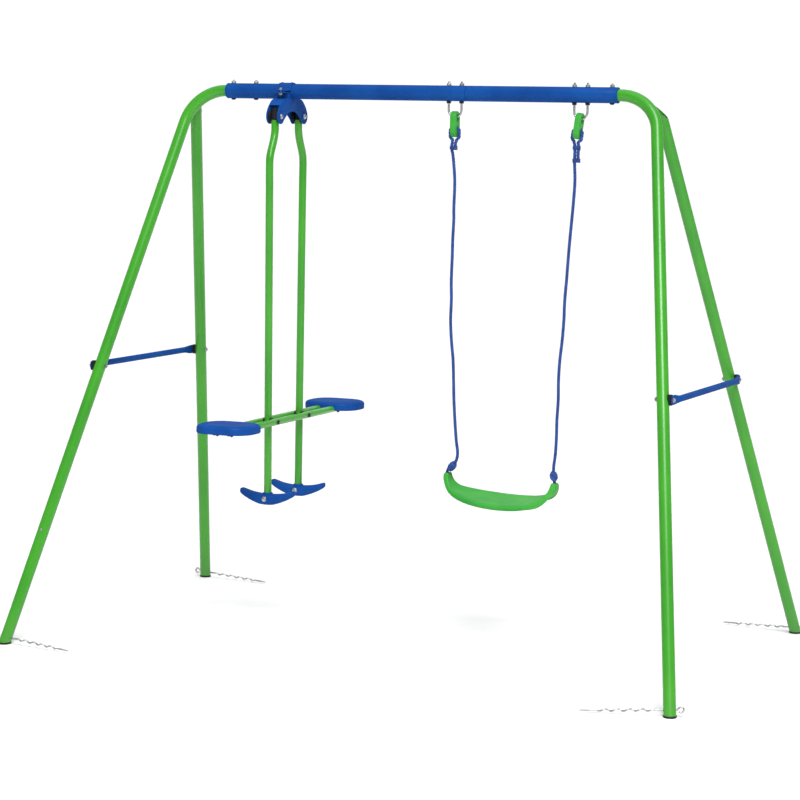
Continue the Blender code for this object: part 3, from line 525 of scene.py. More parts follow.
# ---- beam and legs ----
def leg_point(sx, sy, z):
    """Point of a leg axis at a height."""
    t = (BEAM_Z - z) / BEAM_Z
    return Vector((sx * (CORNER_X + t * (FOOT_X - CORNER_X)), sy * t * FOOT_Y, z))


def leg_down(sx, sy):
    """Direction of a leg towards its foot."""
    return (leg_point(sx, sy, 0.0) - leg_point(sx, sy, 1.0)).normalized()


def elbow_arc(sx, count):
    """Centreline of the bend between the beam and a front leg."""
    corner = Vector((sx * CORNER_X, 0.0, BEAM_Z))
    a = (Vector((0.0, 0.0, BEAM_Z)) - corner).normalized()
    b = (leg_point(sx, -1, 0.0) - corner).normalized()
    turn = math.pi - a.angle(b)
    reach = ELBOW_R * math.tan(turn / 2.0)
    centre = corner + (a + b).normalized() * (ELBOW_R / math.cos(turn / 2.0))
    first = corner + a * reach - centre
    last = corner + b * reach - centre
    points = []
    for k in range(count + 1):
        t = turn * k / count
        points.append(centre + (math.sin(turn - t) * first + math.sin(t) * last) / math.sin(turn))
    return points


def make_beam():
    """Two beam tubes, the right one swaged at the seam, and the plastic sleeves at their outer ends."""
    stations = (-BEAM_END, -BEAM_END + 0.003, 0.0, BEAM_SEAM - 0.003, BEAM_SEAM)
    left = rod([(x, 0.0, BEAM_Z) for x in stations], BEAM_R, 0.0008, 64)
    build("beam_tube_left", [left], BLUE_PAINT, "beam_left")
    profile = [(0.15, 0.0225), (BEAM_SEAM + 0.0005, 0.0231), (BEAM_SEAM + 0.0012, 0.0235),
               (BEAM_SEAM + 0.0024, 0.0246), (BEAM_SEAM + 0.004, BEAM_R), (0.4, BEAM_R),
               (BEAM_END - 0.0008, BEAM_R), (BEAM_END - 0.0002, BEAM_R - 0.0003), (BEAM_END, BEAM_R - 0.0008)]
    right = turned((0.0, 0.0, BEAM_Z), X_AXIS, profile, 64)
    build("beam_tube_right", [right], BLUE_PAINT, "beam_right")
    profile = ((-0.004, 0.0226), (0.0002, 0.023), (0.0003, 0.0251), (0.0012, 0.0254), (0.0032, 0.0252),
               (0.0042, 0.0238), (0.0046, 0.022), (0.0046, 0.0198), (0.0036, 0.0194), (-0.002, 0.0194))
    for sign, side in SIDES:
        ring = turned((sign * BEAM_END, 0.0, BEAM_Z), X_AXIS * sign, profile, 56)
        build("beam_sleeve_ring_" + side, [ring], BLUE_PLASTIC, "beam_sleeve_" + side)


def saddle_end(ring, axis, elbow, sx):
    """Slide a ring's points down the tube until they clear the elbow and the slanted cut."""
    elbow = np.array([list(p) for p in elbow])
    edge = np.array((sx * SLANT_X, 0.0, SLANT_Z))
    slant = np.array((sx * SLANT[0], 0.0, SLANT[1]))
    shaped = []
    for point in ring:
        moved = np.array(point)
        for _ in range(220):
            clear = np.min(np.linalg.norm(elbow - moved, axis=1)) > LEG_R + 0.0006
            if clear and (moved - edge).dot(slant) < 0.0:
                break
            moved = moved + axis * 0.0004
        shaped.append(moved)
    return shaped


def level_end(ring, axis):
    """Slide a ring's points along the tube to the height of the foot cap's floor."""
    return [p + axis * (FOOT_PAD - 0.0004 - p[2]) / axis[2] for p in ring]


def make_legs():
    """Front legs that bend over into the beam, rear legs cut to sit against the bend."""
    for sx, side in SIDES:
        bend = elbow_arc(sx, 28)
        foot = leg_point(sx, -1, -0.02)
        route = [Vector((sx * INSERT_X, 0.0, BEAM_Z))] + bend
        route += [bend[-1].lerp(foot, t) for t in (0.02, 0.25, 0.5, 0.75, 1.0)]
        bulge = [1.0] + [1.0 + 0.028 * math.sin(math.pi * k / 28) for k in range(29)] + [1.0] * 5
        rings = hoops(route, LEG_R, 48, bulge)
        rings[-1] = level_end(rings[-1], np.array((foot - bend[-1]).normalized()))
        build("leg_tube_front_" + side, [skin(rings)], GREEN_PAINT, "leg_front_" + side)

        top = Vector((sx * CORNER_X, 0.0, BEAM_Z)).lerp(leg_point(sx, 1, 0.0), 0.01)
        foot = leg_point(sx, 1, -0.02)
        axis = np.array((foot - top).normalized())
        route = [top.lerp(foot, t) for t in (0.0, 0.055, 0.3, 0.6, 1.0)]
        elbow = elbow_arc(sx, 200)
        walls = []
        for radius in (LEG_R, LEG_R - 0.0016):
            rings = hoops(route, radius, 48)
            rings[0] = saddle_end(rings[0], axis, elbow, sx)
            rings[-1] = level_end(rings[-1], axis)
            walls.append(rings)
        shell = skin(walls[0] + walls[1][::-1], closed=True)
        build("leg_tube_rear_" + side, [shell], GREEN_PAINT, "leg_rear_" + side)

    # bright spring button, which the photo shows on the front left leg only
    down = leg_down(-1, -1)
    facing = (down * down.y - Y_AXIS).normalized()
    base = leg_point(-1, -1, BUTTON_Z) + facing * (LEG_R - 0.0004)
    build("leg_button", [dome(base, -facing, 0.0046, 0.003)], ZINC)


def make_foot_caps():
    """Black foot caps, cut level with the ground, with a rounded rim and a raised collar."""
    lean = Vector((FOOT_X - CORNER_X, FOOT_Y, -BEAM_Z))
    tilt = BEAM_Z / lean.length
    levels = ((0.0, 0.0178), (0.0003, 0.0188), (0.001, 0.0199), (0.002, 0.0203),
              (0.0042, 0.0204), (0.0056, 0.0202), (0.0062, 0.0198), (0.0064, 0.0191))
    for sx, side in SIDES:
        for sy, end in ENDS:
            ahead = Vector((sx * lean.x, sy * lean.y, 0.0)).normalized()
            across = Vector((-ahead.y, ahead.x, 0.0))
            rings = [[leg_point(sx, sy, z) + ahead * (radius / tilt * c) + across * (radius * s)
                      for c, s in circle(48)] for z, radius in levels]
            node = "foot_cap_%s_%s" % (end, side)
            build(node + "_cup", [skin(rings)], BLACK_PLASTIC, node)


def make_crossbars():
    """Blue tubes pressed flat at the ends, on black saddles."""
    # from an end to the middle: y, x, half thickness and half height
    half = ((0.3608, 0.994, 0.0012, 0.008), (0.3603, 0.994, 0.0017, 0.01),
            (0.359, 0.994, 0.0019, 0.0128), (0.356, 0.994, 0.0019, 0.0146),
            (0.346, 0.994, 0.0018, 0.0151), (0.334, 0.994, 0.002, 0.015),
            (0.327, 0.9945, 0.003, 0.0146), (0.318, 0.996, 0.0053, 0.0131),
            (0.308, 0.9981, 0.0079, 0.0114), (0.298, 0.9994, 0.0096, 0.0103),
            (0.288, 0.9997, 0.01, 0.01), (0.1, 0.9997, 0.01, 0.01))
    stations = [(-y, x, a, b) for y, x, a, b in half] + list(reversed(half))
    depths = ((0.016, 0.001), (0.0168, 0.0), (0.0276, 0.0), (0.029, 0.0014))
    for sx, side in SIDES:
        rings = [[(sx * (x + a * c), y, CROSSBAR_Z + b * s) for c, s in circle(40)]
                 for y, x, a, b in stations]
        build("crossbar_tube_" + side, [skin(rings)], BLUE_PAINT, "crossbar_" + side)
        for sy, end in ENDS:
            centre = leg_point(sx, sy, CROSSBAR_Z)
            down = leg_down(sx, sy)
            tube = peg(centre - down * 0.05, down, LEG_R + 0.0002, 0.1, 64)
            pad("crossbar_saddle_pad_%s_%s" % (end, side), "crossbar_saddle_%s_%s" % (end, side),
                centre, sx, (0.021, 0.033), 0.006, depths, tube)


def make_bolts():
    """The fixed frame's bolts as washers, head, nut and threaded end."""
    for node in ("beam_bolt_left_outer", "beam_bolt_left_inner", "beam_bolt_right_outer"):
        low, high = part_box(node)
        x = (low.x + high.x) / 2.0
        over = Vector((x, 0.0, BEAM_Z + BEAM_R))
        head = dome(Vector((x, 0.0, BEAM_Z - BEAM_R)), Z_AXIS, 0.008, 0.0052)
        build(node + "_head", [head], BLACK_STEEL)
        shells = nut(over - Z_AXIS * 0.0002, Z_AXIS, 0.013, 0.0062, 0.0084, 0.0013)
        shells.append(thread(over + Z_AXIS * 0.007, Z_AXIS, 0.0036, high.z - over.z - 0.007))
        build(node + "_nut", shells, ZINC, node)
    for sx, side in SIDES:
        node = "top_bolt_" + side
        low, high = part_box(node)
        head = Vector(((low.x + high.x) / 2.0, high.y - 0.0065, (low.z + high.z) / 2.0))
        shells = [hexagon(head, Y_AXIS, 0.013, 0.0062), washer(head - Y_AXIS * 0.0013, Y_AXIS, 0.0084),
                  turned(head - Y_AXIS * 0.06, Y_AXIS, ((0.0, 0.0034), (0.06, 0.0035)), 24)]
        build(node + "_set", shells, ZINC, node)
        outward = sx * X_AXIS
        for sy, end in ENDS:
            node = "crossbar_bolt_%s_%s" % (end, side)
            y = sy * leg_point(1, 1, CROSSBAR_Z).y
            outer = Vector((sx * 0.996, y, CROSSBAR_Z))
            inner = Vector((sx * 0.9424, y, CROSSBAR_Z))
            shells = [washer(outer, outward, 0.0078, 0.0011),
                      hexagon(outer + outward * 0.0011, outward, 0.0108, 0.0042),
                      peg(inner, outward, 0.003, 0.009, 20),
                      washer(inner + outward * 0.0005, -outward, 0.0074, 0.0011),
                      hexagon(inner - outward * 0.0006, -outward, 0.0112, 0.0036),
                      dome(inner - outward * 0.0041, outward, 0.0034, 0.0014)]
            build(node + "_set", shells, ZINC, node)


def make_anchors():
    """Corkscrew ground anchors: an eye, a straight stem through the foot and a drawn-out screw."""
    for (sx, sy), (tip_x, tip_y) in ANCHOR_TIPS.items():
        through = leg_point(sx, sy, ANCHOR_Z)
        run = (Vector((tip_x, tip_y, 0.0066)) - through).normalized()
        up = (Z_AXIS - run * run.z).normalized()
        aside = run.cross(up)
        eye = through - run * (LEG_R + 0.006 + ANCHOR_EYE_R)
        route = []
        for k in range(37):
            angle = math.radians(-35.0 - 290.0 * k / 36)
            route.append(eye + (run * math.cos(angle) + up * math.sin(angle)) * ANCHOR_EYE_R)
        neck = [route[-1], through - run * (LEG_R + 0.0044) + up * 0.002,
                through - run * (LEG_R + 0.0014), through]
        route = route[:-1] + smooth(neck, 0.003) + [through + run * 0.024]
        for k in range(ANCHOR_TURNS * 20 + 1):
            angle = math.tau * k / 20
            swell = min(1.0, k / 12.0) * 0.003
            route.append(through + run * (0.036 + ANCHOR_PITCH * k / 20)
                         + (up * math.sin(angle) + aside * math.cos(angle)) * swell)
        point = through + run * (0.036 + ANCHOR_PITCH * ANCHOR_TURNS)
        route += [point + run * ahead for ahead in (0.008, 0.016, 0.03, 0.042, 0.047, 0.05)]
        radii = [ANCHOR_R * 0.7] + [ANCHOR_R] * (len(route) - 5)
        radii += [ANCHOR_R * share for share in (0.95, 0.78, 0.45, 0.12)]
        node = "ground_anchor_%s_%s" % (dict(ENDS)[sy], dict(SIDES)[sx])
        build(node + "_rod", [sweep(route, radii, 16)], WIRE_STEEL, node)


# ---- rope swing ----
ROPE_ROUTES = (
    ((0.1295, 1.575), (0.136, 1.501), (0.1345, 1.415), (0.135, 1.376), (0.1325, 1.312),
     (0.132, 1.261), (0.13, 1.183), (0.1315, 1.119), (0.13, 1.054), (0.134, 0.99),
     (0.141, 0.926), (0.144, 0.861), (0.1465, 0.796), (0.151, 0.731), (0.157, 0.666),
     (0.1625, 0.627), (0.1585, 0.601), (0.146, 0.582), (0.1294, 0.568), (0.1284, 0.552)),
    ((0.544, 1.511), (0.541, 1.448), (0.5365, 1.389), (0.5315, 1.326),
     (0.528, 1.275), (0.5235, 1.199), (0.519, 1.136), (0.5175, 1.072), (0.5135, 1.008),
     (0.507, 0.945), (0.504, 0.881), (0.5045, 0.817), (0.5015, 0.753), (0.501, 0.689),
     (0.4985, 0.64), (0.4945, 0.607), (0.494, 0.58), (0.497, 0.56), (0.4984, 0.543)),
)
ROPE_TAILS = (((0.1356, 1.6), (0.136, 1.619)), ((0.553, 1.569), (0.5528, 1.595), (0.5533, 1.619)))
ROPE_STARTS = (((0.1243, 1.619), (0.1246, 1.6)), ((0.5418, 1.619), (0.5416, 1.595), (0.5416, 1.569)))
HALF_LOOP = ((0.007, -0.038), (0.0089, -0.0346), (0.0118, -0.0326), (0.0141, -0.0302), (0.0155, -0.026),
             (0.0156, -0.008), (0.0144, -0.004), (0.0116, -0.0011), (0.0075, 0.0))


def upright(points):
    """(x, z) pairs as points in the plane of the beam."""
    return [np.array((x, 0.0, z)) for x, z in points]


def connector_frame(index):
    """Where a connector rests on its rod, with its own up and sideways directions."""
    tilt = CONNECTOR_TILT[index]
    lift = Vector((math.sin(tilt), 0.0, math.cos(tilt)))
    over = Vector((math.cos(tilt), 0.0, -math.sin(tilt)))
    return Vector((HANGER_X[index], 0.0, HANGER_BOTTOM + HANGER_BEND)) - lift * HANGER_BEND, lift, over


def rope_piece(name, points, diameter=ROPE_D, nodes=(), lay=0.03, sides=24, strands=3):
    """Twisted rope along a route, with fibre coordinates that follow each strand."""
    pts, across, up = carry(points)
    lengths = np.concatenate(([0.0], np.cumsum(np.linalg.norm(np.diff(pts, axis=0), axis=1))))
    rings = []
    uv = []
    for k in range(len(pts)):
        ring = []
        for j in range(sides):
            angle = math.tau * j / sides
            radius = diameter / 2.0 * (0.8 + 0.24 * abs(math.cos(strands * angle / 2.0)) ** 0.7)
            angle += math.tau * lengths[k] / lay
            ring.append(pts[k] + radius * (across[k] * math.cos(angle) + up[k] * math.sin(angle)))
            uv.append((lengths[k] / 0.02, j * strands / sides))
        rings.append(ring)
    uv += [(0.0, 0.0), (0.0, 0.0)]
    return build(name, [skin(rings)], ROPE_BLUE, *nodes, body="swing", sharp=60.0, uv=uv)


def whipping(name, centre):
    """Thin cord wound tightly round the doubled rope where its tail ends."""
    route = []
    turns = 5
    for k in range(turns * 26 + 1):
        c = math.cos(math.tau * k / 26)
        s = math.sin(math.tau * k / 26)
        wide = 0.0058 * math.copysign(min(1.0, abs(c) * 1.6), c)
        route.append(centre + Vector((wide + 0.0062 * c, 0.0064 * s, 0.0024 * (k / 26 - turns / 2.0))))
    return rope_piece(name, route, 0.0026)


def knot(side, run, height):
    """Barrel of rope turns above the seat's end, and the bight that crosses over them at a slant."""
    at = min(range(len(run)), key=lambda i: abs(run[i][2] - height))
    centre = Vector(run[at])
    axis = Vector(run[at + 4] - run[at - 4]).normalized()
    across = axis.cross(Y_AXIS).normalized()
    front = axis.cross(across)
    wraps = []
    steps = 3 * 22
    for k in range(steps + 1):
        angle = math.tau * k / 22
        reach = 0.007 + 0.0008 * math.sin(angle * 0.5 + 0.6)
        wraps.append(centre + axis * (0.019 * (k / steps - 0.5))
                     + (across * math.cos(angle) + front * math.sin(angle)) * reach)
    bight = []
    for k in range(41):
        angle = math.tau * k / 40 * 0.98
        bight.append(centre + axis * (0.012 * math.sin(angle + 0.5))
                     + across * (0.0088 * math.cos(angle)) + front * (0.01 * math.sin(angle)))
    return [rope_piece("rope_knot_" + side, wraps, 0.0088),
            rope_piece("rope_knot_bight_" + side, bight, 0.0086)]


def make_ropes():
    """Both ropes: the long run, the eye through the connector, its whippings and the knot at the seat."""
    loop_shape = HALF_LOOP + ((0.0, 0.0),) + tuple((-u, v) for u, v in reversed(HALF_LOOP))
    for index, (_, side) in enumerate(SIDES):
        on_rod, lift, over = connector_frame(index)
        eye = on_rod - lift * CONNECTOR_EYE
        begin = upright(ROPE_STARTS[index])
        tail = upright(ROPE_TAILS[index])
        loop = tail + [np.array(eye + over * u + lift * v) for u, v in loop_shape] + begin[:1]
        run = smooth(begin + upright(ROPE_ROUTES[index]), 0.0026)
        rope = rope_piece("rope_" + side, run, nodes=("swing_rope_" + side,))
        tied = [rope_piece("rope_eye_" + side, smooth(loop, 0.002))]
        middle = (tail[0][0] + begin[-1][0]) / 2.0
        for number, rise in enumerate(((0.007,), (0.006, 0.046))[index]):
            centre = Vector((middle, 0.0, tail[0][2] + rise))
            tied.append(whipping("rope_whipping_%s_%d" % (side, number), centre))
        tied += knot(side, run, KNOT_Z[index])


def make_hangers():
    """U-shaped rods through the beam, with bright nuts above it and black ones below."""
    for index, (_, side) in enumerate(SIDES):
        x = HANGER_X[index]
        centre = Vector((x, 0.0, HANGER_BOTTOM + HANGER_BEND))
        bend = [centre - Vector((math.cos(math.pi * k / 24), 0.0, math.sin(math.pi * k / 24))) * HANGER_BEND
                for k in range(25)]
        route = [Vector((x - HANGER_BEND, 0.0, z)) for z in (1.811, 1.76)] + bend
        route += [Vector((x + HANGER_BEND, 0.0, z)) for z in (1.76, 1.811)]
        shells = [rod(route, HANGER_R, 0.0004, 24)]
        dark = []
        reach = HANGER_TOP - BEAM_Z - BEAM_R - 0.0066
        for leg in (-1, 1):
            foot = Vector((x + leg * HANGER_BEND, 0.0, BEAM_Z))
            above = foot + Z_AXIS * (BEAM_R - 0.0002)
            shells += nut(above, Z_AXIS, 0.013, 0.006, 0.0086, 0.0013)
            shells.append(thread(above + Z_AXIS * 0.0068, Z_AXIS, HANGER_R, reach))
            dark += nut(foot - Z_AXIS * (BEAM_R - 0.0002), -Z_AXIS, 0.013, 0.0058, 0.0086, 0.0013)
        build("hanger_rod_" + side, shells, ZINC, "swing_hanger_" + side)
        build("hanger_nuts_" + side, dark, BLACK_STEEL)


def make_connectors():
    """Green moulded links with a hanger slot above and a rope eye below, both with rounded rims."""
    edge = ((0.01, 0.0048), (0.0098, 0.003), (0.009, 0.0012), (0.0076, 0.0002), (0.006, 0.0))
    layers = [(-depth, inset) for depth, inset in edge] + list(reversed(edge))
    for index, (_, side) in enumerate(SIDES):
        on_rod, lift, over = connector_frame(index)
        middle = on_rod - lift * 0.0225
        rings = []
        for depth, inset in layers:
            outline = rounded(0.042 - 2.0 * inset, 0.083 - 2.0 * inset, 0.0205 - inset, 14)
            rings.append([middle + over * depth + Y_AXIS * u + lift * v for u, v in outline])
        link = plain("connector_link_" + side, [skin(rings)])
        tools = []
        for low, high, radius in ((-0.0085, 0.0, 0.0083), (-CONNECTOR_EYE, -CONNECTOR_EYE, 0.0073)):
            slot = [(radius * c, (high if k < 15 else low) + radius * s)
                    for k, (c, s) in enumerate(circle(30))]
            slot_rings = [[on_rod + over * d + Y_AXIS * u + lift * v for u, v in slot] for d in (-0.02, 0.02)]
            tools.append(plain("tool", [skin(slot_rings)]))
        carve(link, tools, 0.0009, 45.0)
        dress(link, GREEN_PLASTIC, "swing_connector_" + side, body="swing", sharp=50.0)


# along the strap seat: x, z, half width and how deep its underside is hollowed
STRAP = ((0.1372, 0.56, 0.0135, 0.0), (0.1377, 0.5555, 0.019, 0.0),
         (0.139, 0.544, 0.023, 0.0), (0.145, 0.529, 0.03, 0.25),
         (0.157, 0.515, 0.04, 0.6), (0.176, 0.5055, 0.05, 0.9), (0.208, 0.497, 0.062, 1.0),
         (0.248, 0.4905, 0.071, 1.0), (0.293, 0.486, 0.076, 1.0), (0.34, 0.484, 0.077, 1.0),
         (0.385, 0.485, 0.074, 1.0), (0.422, 0.4895, 0.066, 1.0), (0.452, 0.4985, 0.055, 0.9),
         (0.473, 0.511, 0.043, 0.6), (0.485, 0.525, 0.031, 0.25), (0.489, 0.538, 0.024, 0.0),
         (0.4894, 0.5455, 0.019, 0.0), (0.4895, 0.55, 0.0135, 0.0))
# across it, top edge to lip, for one half: share of the half width, height and hollowing
HALF_TOP = ((0.45, -0.001, 0.0), (0.82, 0.0004, 0.0), (0.93, -0.0004, 0.0), (0.985, -0.0032, 0.0),
            (1.0, -0.008, 0.0))
HALF_BELOW = ((0.995, -0.0135, 0.0), (0.965, -0.0155, 0.0), (0.93, -0.015, 0.0), (0.9, -0.016, 0.0045),
              (0.85, -0.0172, 0.0092), (0.5, -0.0178, 0.0115))
# the depth of its middle surface, the shoulder that is fuller below, and its rise towards the rear edge
SEAT_MIDDLE = -0.0085
SHOULDER_X = 0.456
SEAT_SLOPE = 0.13


def mirrored(points):
    """The same section points on the other half, in the opposite order."""
    return tuple((-share, height, hollow) for share, height, hollow in reversed(points))


def make_swing_seat():
    """Moulded strap seat with slim upright ends, ribs below it and a ferrule where each rope goes in."""
    rows = smooth(STRAP, count=6)
    outline = mirrored(HALF_TOP) + ((0.0, -0.0016, 0.0),) + HALF_TOP
    outline += HALF_BELOW + ((0.0, -0.018, 0.0115),) + mirrored(HALF_BELOW)
    section = smooth(outline + outline[:1], 0.12)[:-1]
    centres = np.array(rows)[:, :2]
    tangents = np.gradient(centres, axis=0)
    last = len(rows) - 1
    closing = ((0.55, 0.0), (0.8, 0.0008), (0.94, 0.0024))
    stations = [(0, scale, drop) for scale, drop in closing] + [(k, 1.0, 0.0) for k in range(1, last)]
    stations += [(last, scale, drop) for scale, drop in reversed(closing)]
    rings = []
    for k, scale, drop in stations:
        x, z, half, pocket = rows[k]
        pocket = min(max(pocket, 0.0), 1.0)
        tangent = unit(tangents[k])
        normal = Vector((-tangent[1], 0.0, tangent[0]))
        to_end = min(np.linalg.norm(centres[k] - centres[0]), np.linalg.norm(centres[k] - centres[-1]))
        slim = 0.62 + 0.38 * math.sqrt(1.0 - (1.0 - min(to_end / 0.022, 1.0)) ** 2)
        fuller = 0.005 * math.cos(math.pi / 2.0 * min(abs(x - SHOULDER_X) / 0.044, 1.0)) ** 2
        ring = []
        for y, n, hollow in section:
            thick = SEAT_MIDDLE + (n + pocket * max(hollow, 0.0) - SEAT_MIDDLE) * scale * slim
            thick -= fuller * max(0.0, min(1.0, (-0.0032 - n) / 0.01))
            base = Vector((x, half * y * scale, z + SEAT_SLOPE * pocket * half * y * scale - drop))
            ring.append(base + normal * thick)
        rings.append(ring)
    build("strap_seat", [skin(rings)], GREEN_PLASTIC, "swing_seat", body="swing_seat", sharp=50.0)

    ribs = []
    for share in (-0.45, 0.0, 0.45):
        route = [(x, share * half, z + SEAT_SLOPE * pocket * share * half + SEAT_MIDDLE)
                 for x, z, half, pocket in rows[20:-20:2]]
        ribs.append(sweep(route, 0.0024, 12))
    build("strap_seat_ribs", ribs, GREEN_PLASTIC, body="swing_seat")
    profile = ((0.0, 0.0074), (0.0036, 0.0072), (0.0048, 0.0068), (0.0052, 0.0062), (0.0046, 0.0057))
    for (x, z), (_, side) in zip(((0.1284, 0.5545), (0.4984, 0.5445)), SIDES):
        collar = turned((x, 0.0, z), Z_AXIS, profile, 32)
        build("strap_seat_ferrule_" + side, [collar], BLACK_PLASTIC, body="swing_seat")


# ---- glider ----
def arc(radius, begin, finish, count):
    """(y, z) points round the beam's axis between two angles in degrees."""
    steps = [math.radians(begin + (finish - begin) * k / count) for k in range(count + 1)]
    return [(radius * math.cos(a), BEAM_Z + radius * math.sin(a)) for a in steps]


def both_sides(points):
    """(y, z) points relative to the beam's axis, then their mirror images in the opposite order."""
    there = [(y, BEAM_Z + z) for y, z in points]
    return there + [(-y, z) for y, z in reversed(there) if y]


def make_bracket():
    """Pressed-steel hanger: a strap over the beam and a two-cheek housing below it."""
    strap = [(0.063, 0.0012), (0.063, 0.0043), (0.033, 0.0043), (0.03, 0.0058), (0.0286, 0.0085)]
    outline = [(y, BEAM_Z + z) for y, z in strap] + arc(0.0285, 24.0, 156.0, 28)
    outline += [(-y, BEAM_Z + z) for y, z in reversed(strap)] + arc(BEAM_R + 0.0002, 177.7, 2.3, 36)
    piece = slab("clamp_strap_plate", outline, GLIDER_X - 0.025, GLIDER_X + 0.025)
    carve(piece, [], 0.0008, 35.0)
    dress(piece, BLUE_PAINT, "glider_clamp_strap", sharp=40.0)
    beads = [sweep([(GLIDER_X + x, y, z) for y, z in arc(0.0282, 28.0, 152.0, 28)], 0.0019, 14)
             for x in (-0.0175, 0.0175)]
    build("clamp_strap_beads", beads, BLUE_PAINT)

    lobe = [(PIVOT_Y + 0.025 * math.cos(math.radians(a)), -0.082 + 0.025 * math.sin(math.radians(a)))
            for a in range(0, -151, -10)]
    shoulder = smooth([(0.031, -0.022), (0.06, -0.0255), (0.076, -0.032), (0.0965, -0.05),
                       (0.1085, -0.068), (0.112, -0.082)], 0.004)[:-1]
    arch = smooth([lobe[-1], (0.048, -0.0815), (0.03, -0.0705), (0.012, -0.0665),
                   (0.0, -0.0658)], 0.005)[1:-1]
    half = [(0.062, -0.0012), (0.062, -0.0053), (0.034, -0.0053), (0.0318, -0.007)]
    half += [tuple(p) for p in shoulder] + lobe + [tuple(p) for p in arch]
    outline = both_sides(half) + arc(BEAM_R + 0.0002, 182.3, 357.7, 36)
    piece = slab("glider_bracket_shell", outline, GLIDER_X - CHEEK_OUT, GLIDER_X + CHEEK_OUT)
    inside = [(0.0, -0.032), (0.034, -0.029), (0.059, -0.029), (0.0742, -0.0352), (0.086, -0.0458),
              (0.14, -0.0458), (0.14, -0.15)]
    hollow = slab("tool", both_sides(inside), GLIDER_X - CHEEK_IN, GLIDER_X + CHEEK_IN)
    carve(piece, [hollow], 0.0009, 38.0)
    dress(piece, BLUE_PAINT, "glider_bracket", sharp=40.0)
    beads = []
    for sx, _ in SIDES:
        for sy, _ in ENDS:
            beads.append(sweep([(GLIDER_X + sx * (CHEEK_OUT - 0.0004), sy * PIVOT_Y + 0.0175 * math.cos(a),
                                 PIVOT_Z + 0.0175 * math.sin(a)) for a in np.linspace(0.0, math.tau, 41)],
                               0.0013, 10))
    build("glider_bracket_beads", beads, BLUE_PAINT)

    for sy, end in ENDS:
        top = Vector((GLIDER_X, sy * CLAMP_Y, BEAM_Z + 0.0044))
        below = Vector((GLIDER_X, sy * CLAMP_Y, BEAM_Z - 0.0054))
        shells = nut(top, Z_AXIS, 0.0126, 0.0048, 0.008) + nut(below, -Z_AXIS, 0.0122, 0.0054, 0.0078)
        shells += [peg(below - Z_AXIS * 0.002, Z_AXIS, 0.0034, 0.013, 20),
                   thread(below - Z_AXIS * 0.0064, -Z_AXIS, 0.0035, 0.0046)]
        build("clamp_bolt_%s_set" % end, shells, ZINC, "clamp_bolt_" + end)
        outer = Vector((GLIDER_X + CHEEK_OUT, sy * PIVOT_Y, PIVOT_Z))
        inner = Vector((GLIDER_X - CHEEK_OUT, sy * PIVOT_Y, PIVOT_Z))
        shells = [washer(outer, X_AXIS, 0.0092), dome(outer + X_AXIS * 0.0012, -X_AXIS, 0.0082, 0.005),
                  peg(inner, X_AXIS, 0.0039, 2.0 * CHEEK_OUT)]
        shells += nut(inner, -X_AXIS, 0.013, 0.0062, 0.009)
        shells.append(thread(inner - X_AXIS * 0.0072, -X_AXIS, 0.004, 0.0034))
        build("glider_pivot_bolt_%s_set" % end, shells, ZINC, "glider_pivot_bolt_" + end)


def arm_route(sy):
    """Centreline of a glider arm: straight in the bracket, a double bend, then straight to the footrest."""
    bend = [(0.087, 1.656), (0.0905, 1.638), (0.098, 1.618), (0.109, 1.5965), (0.1185, 1.577),
            (0.1245, 1.55), (0.1238, 1.47)]
    route = smooth([(GLIDER_X, sy * y, z) for y, z in bend], 0.006)
    return [(GLIDER_X, sy * 0.087, 1.722)] + route + [(GLIDER_X, sy * ARM_END_Y, ARM_END_Z)]


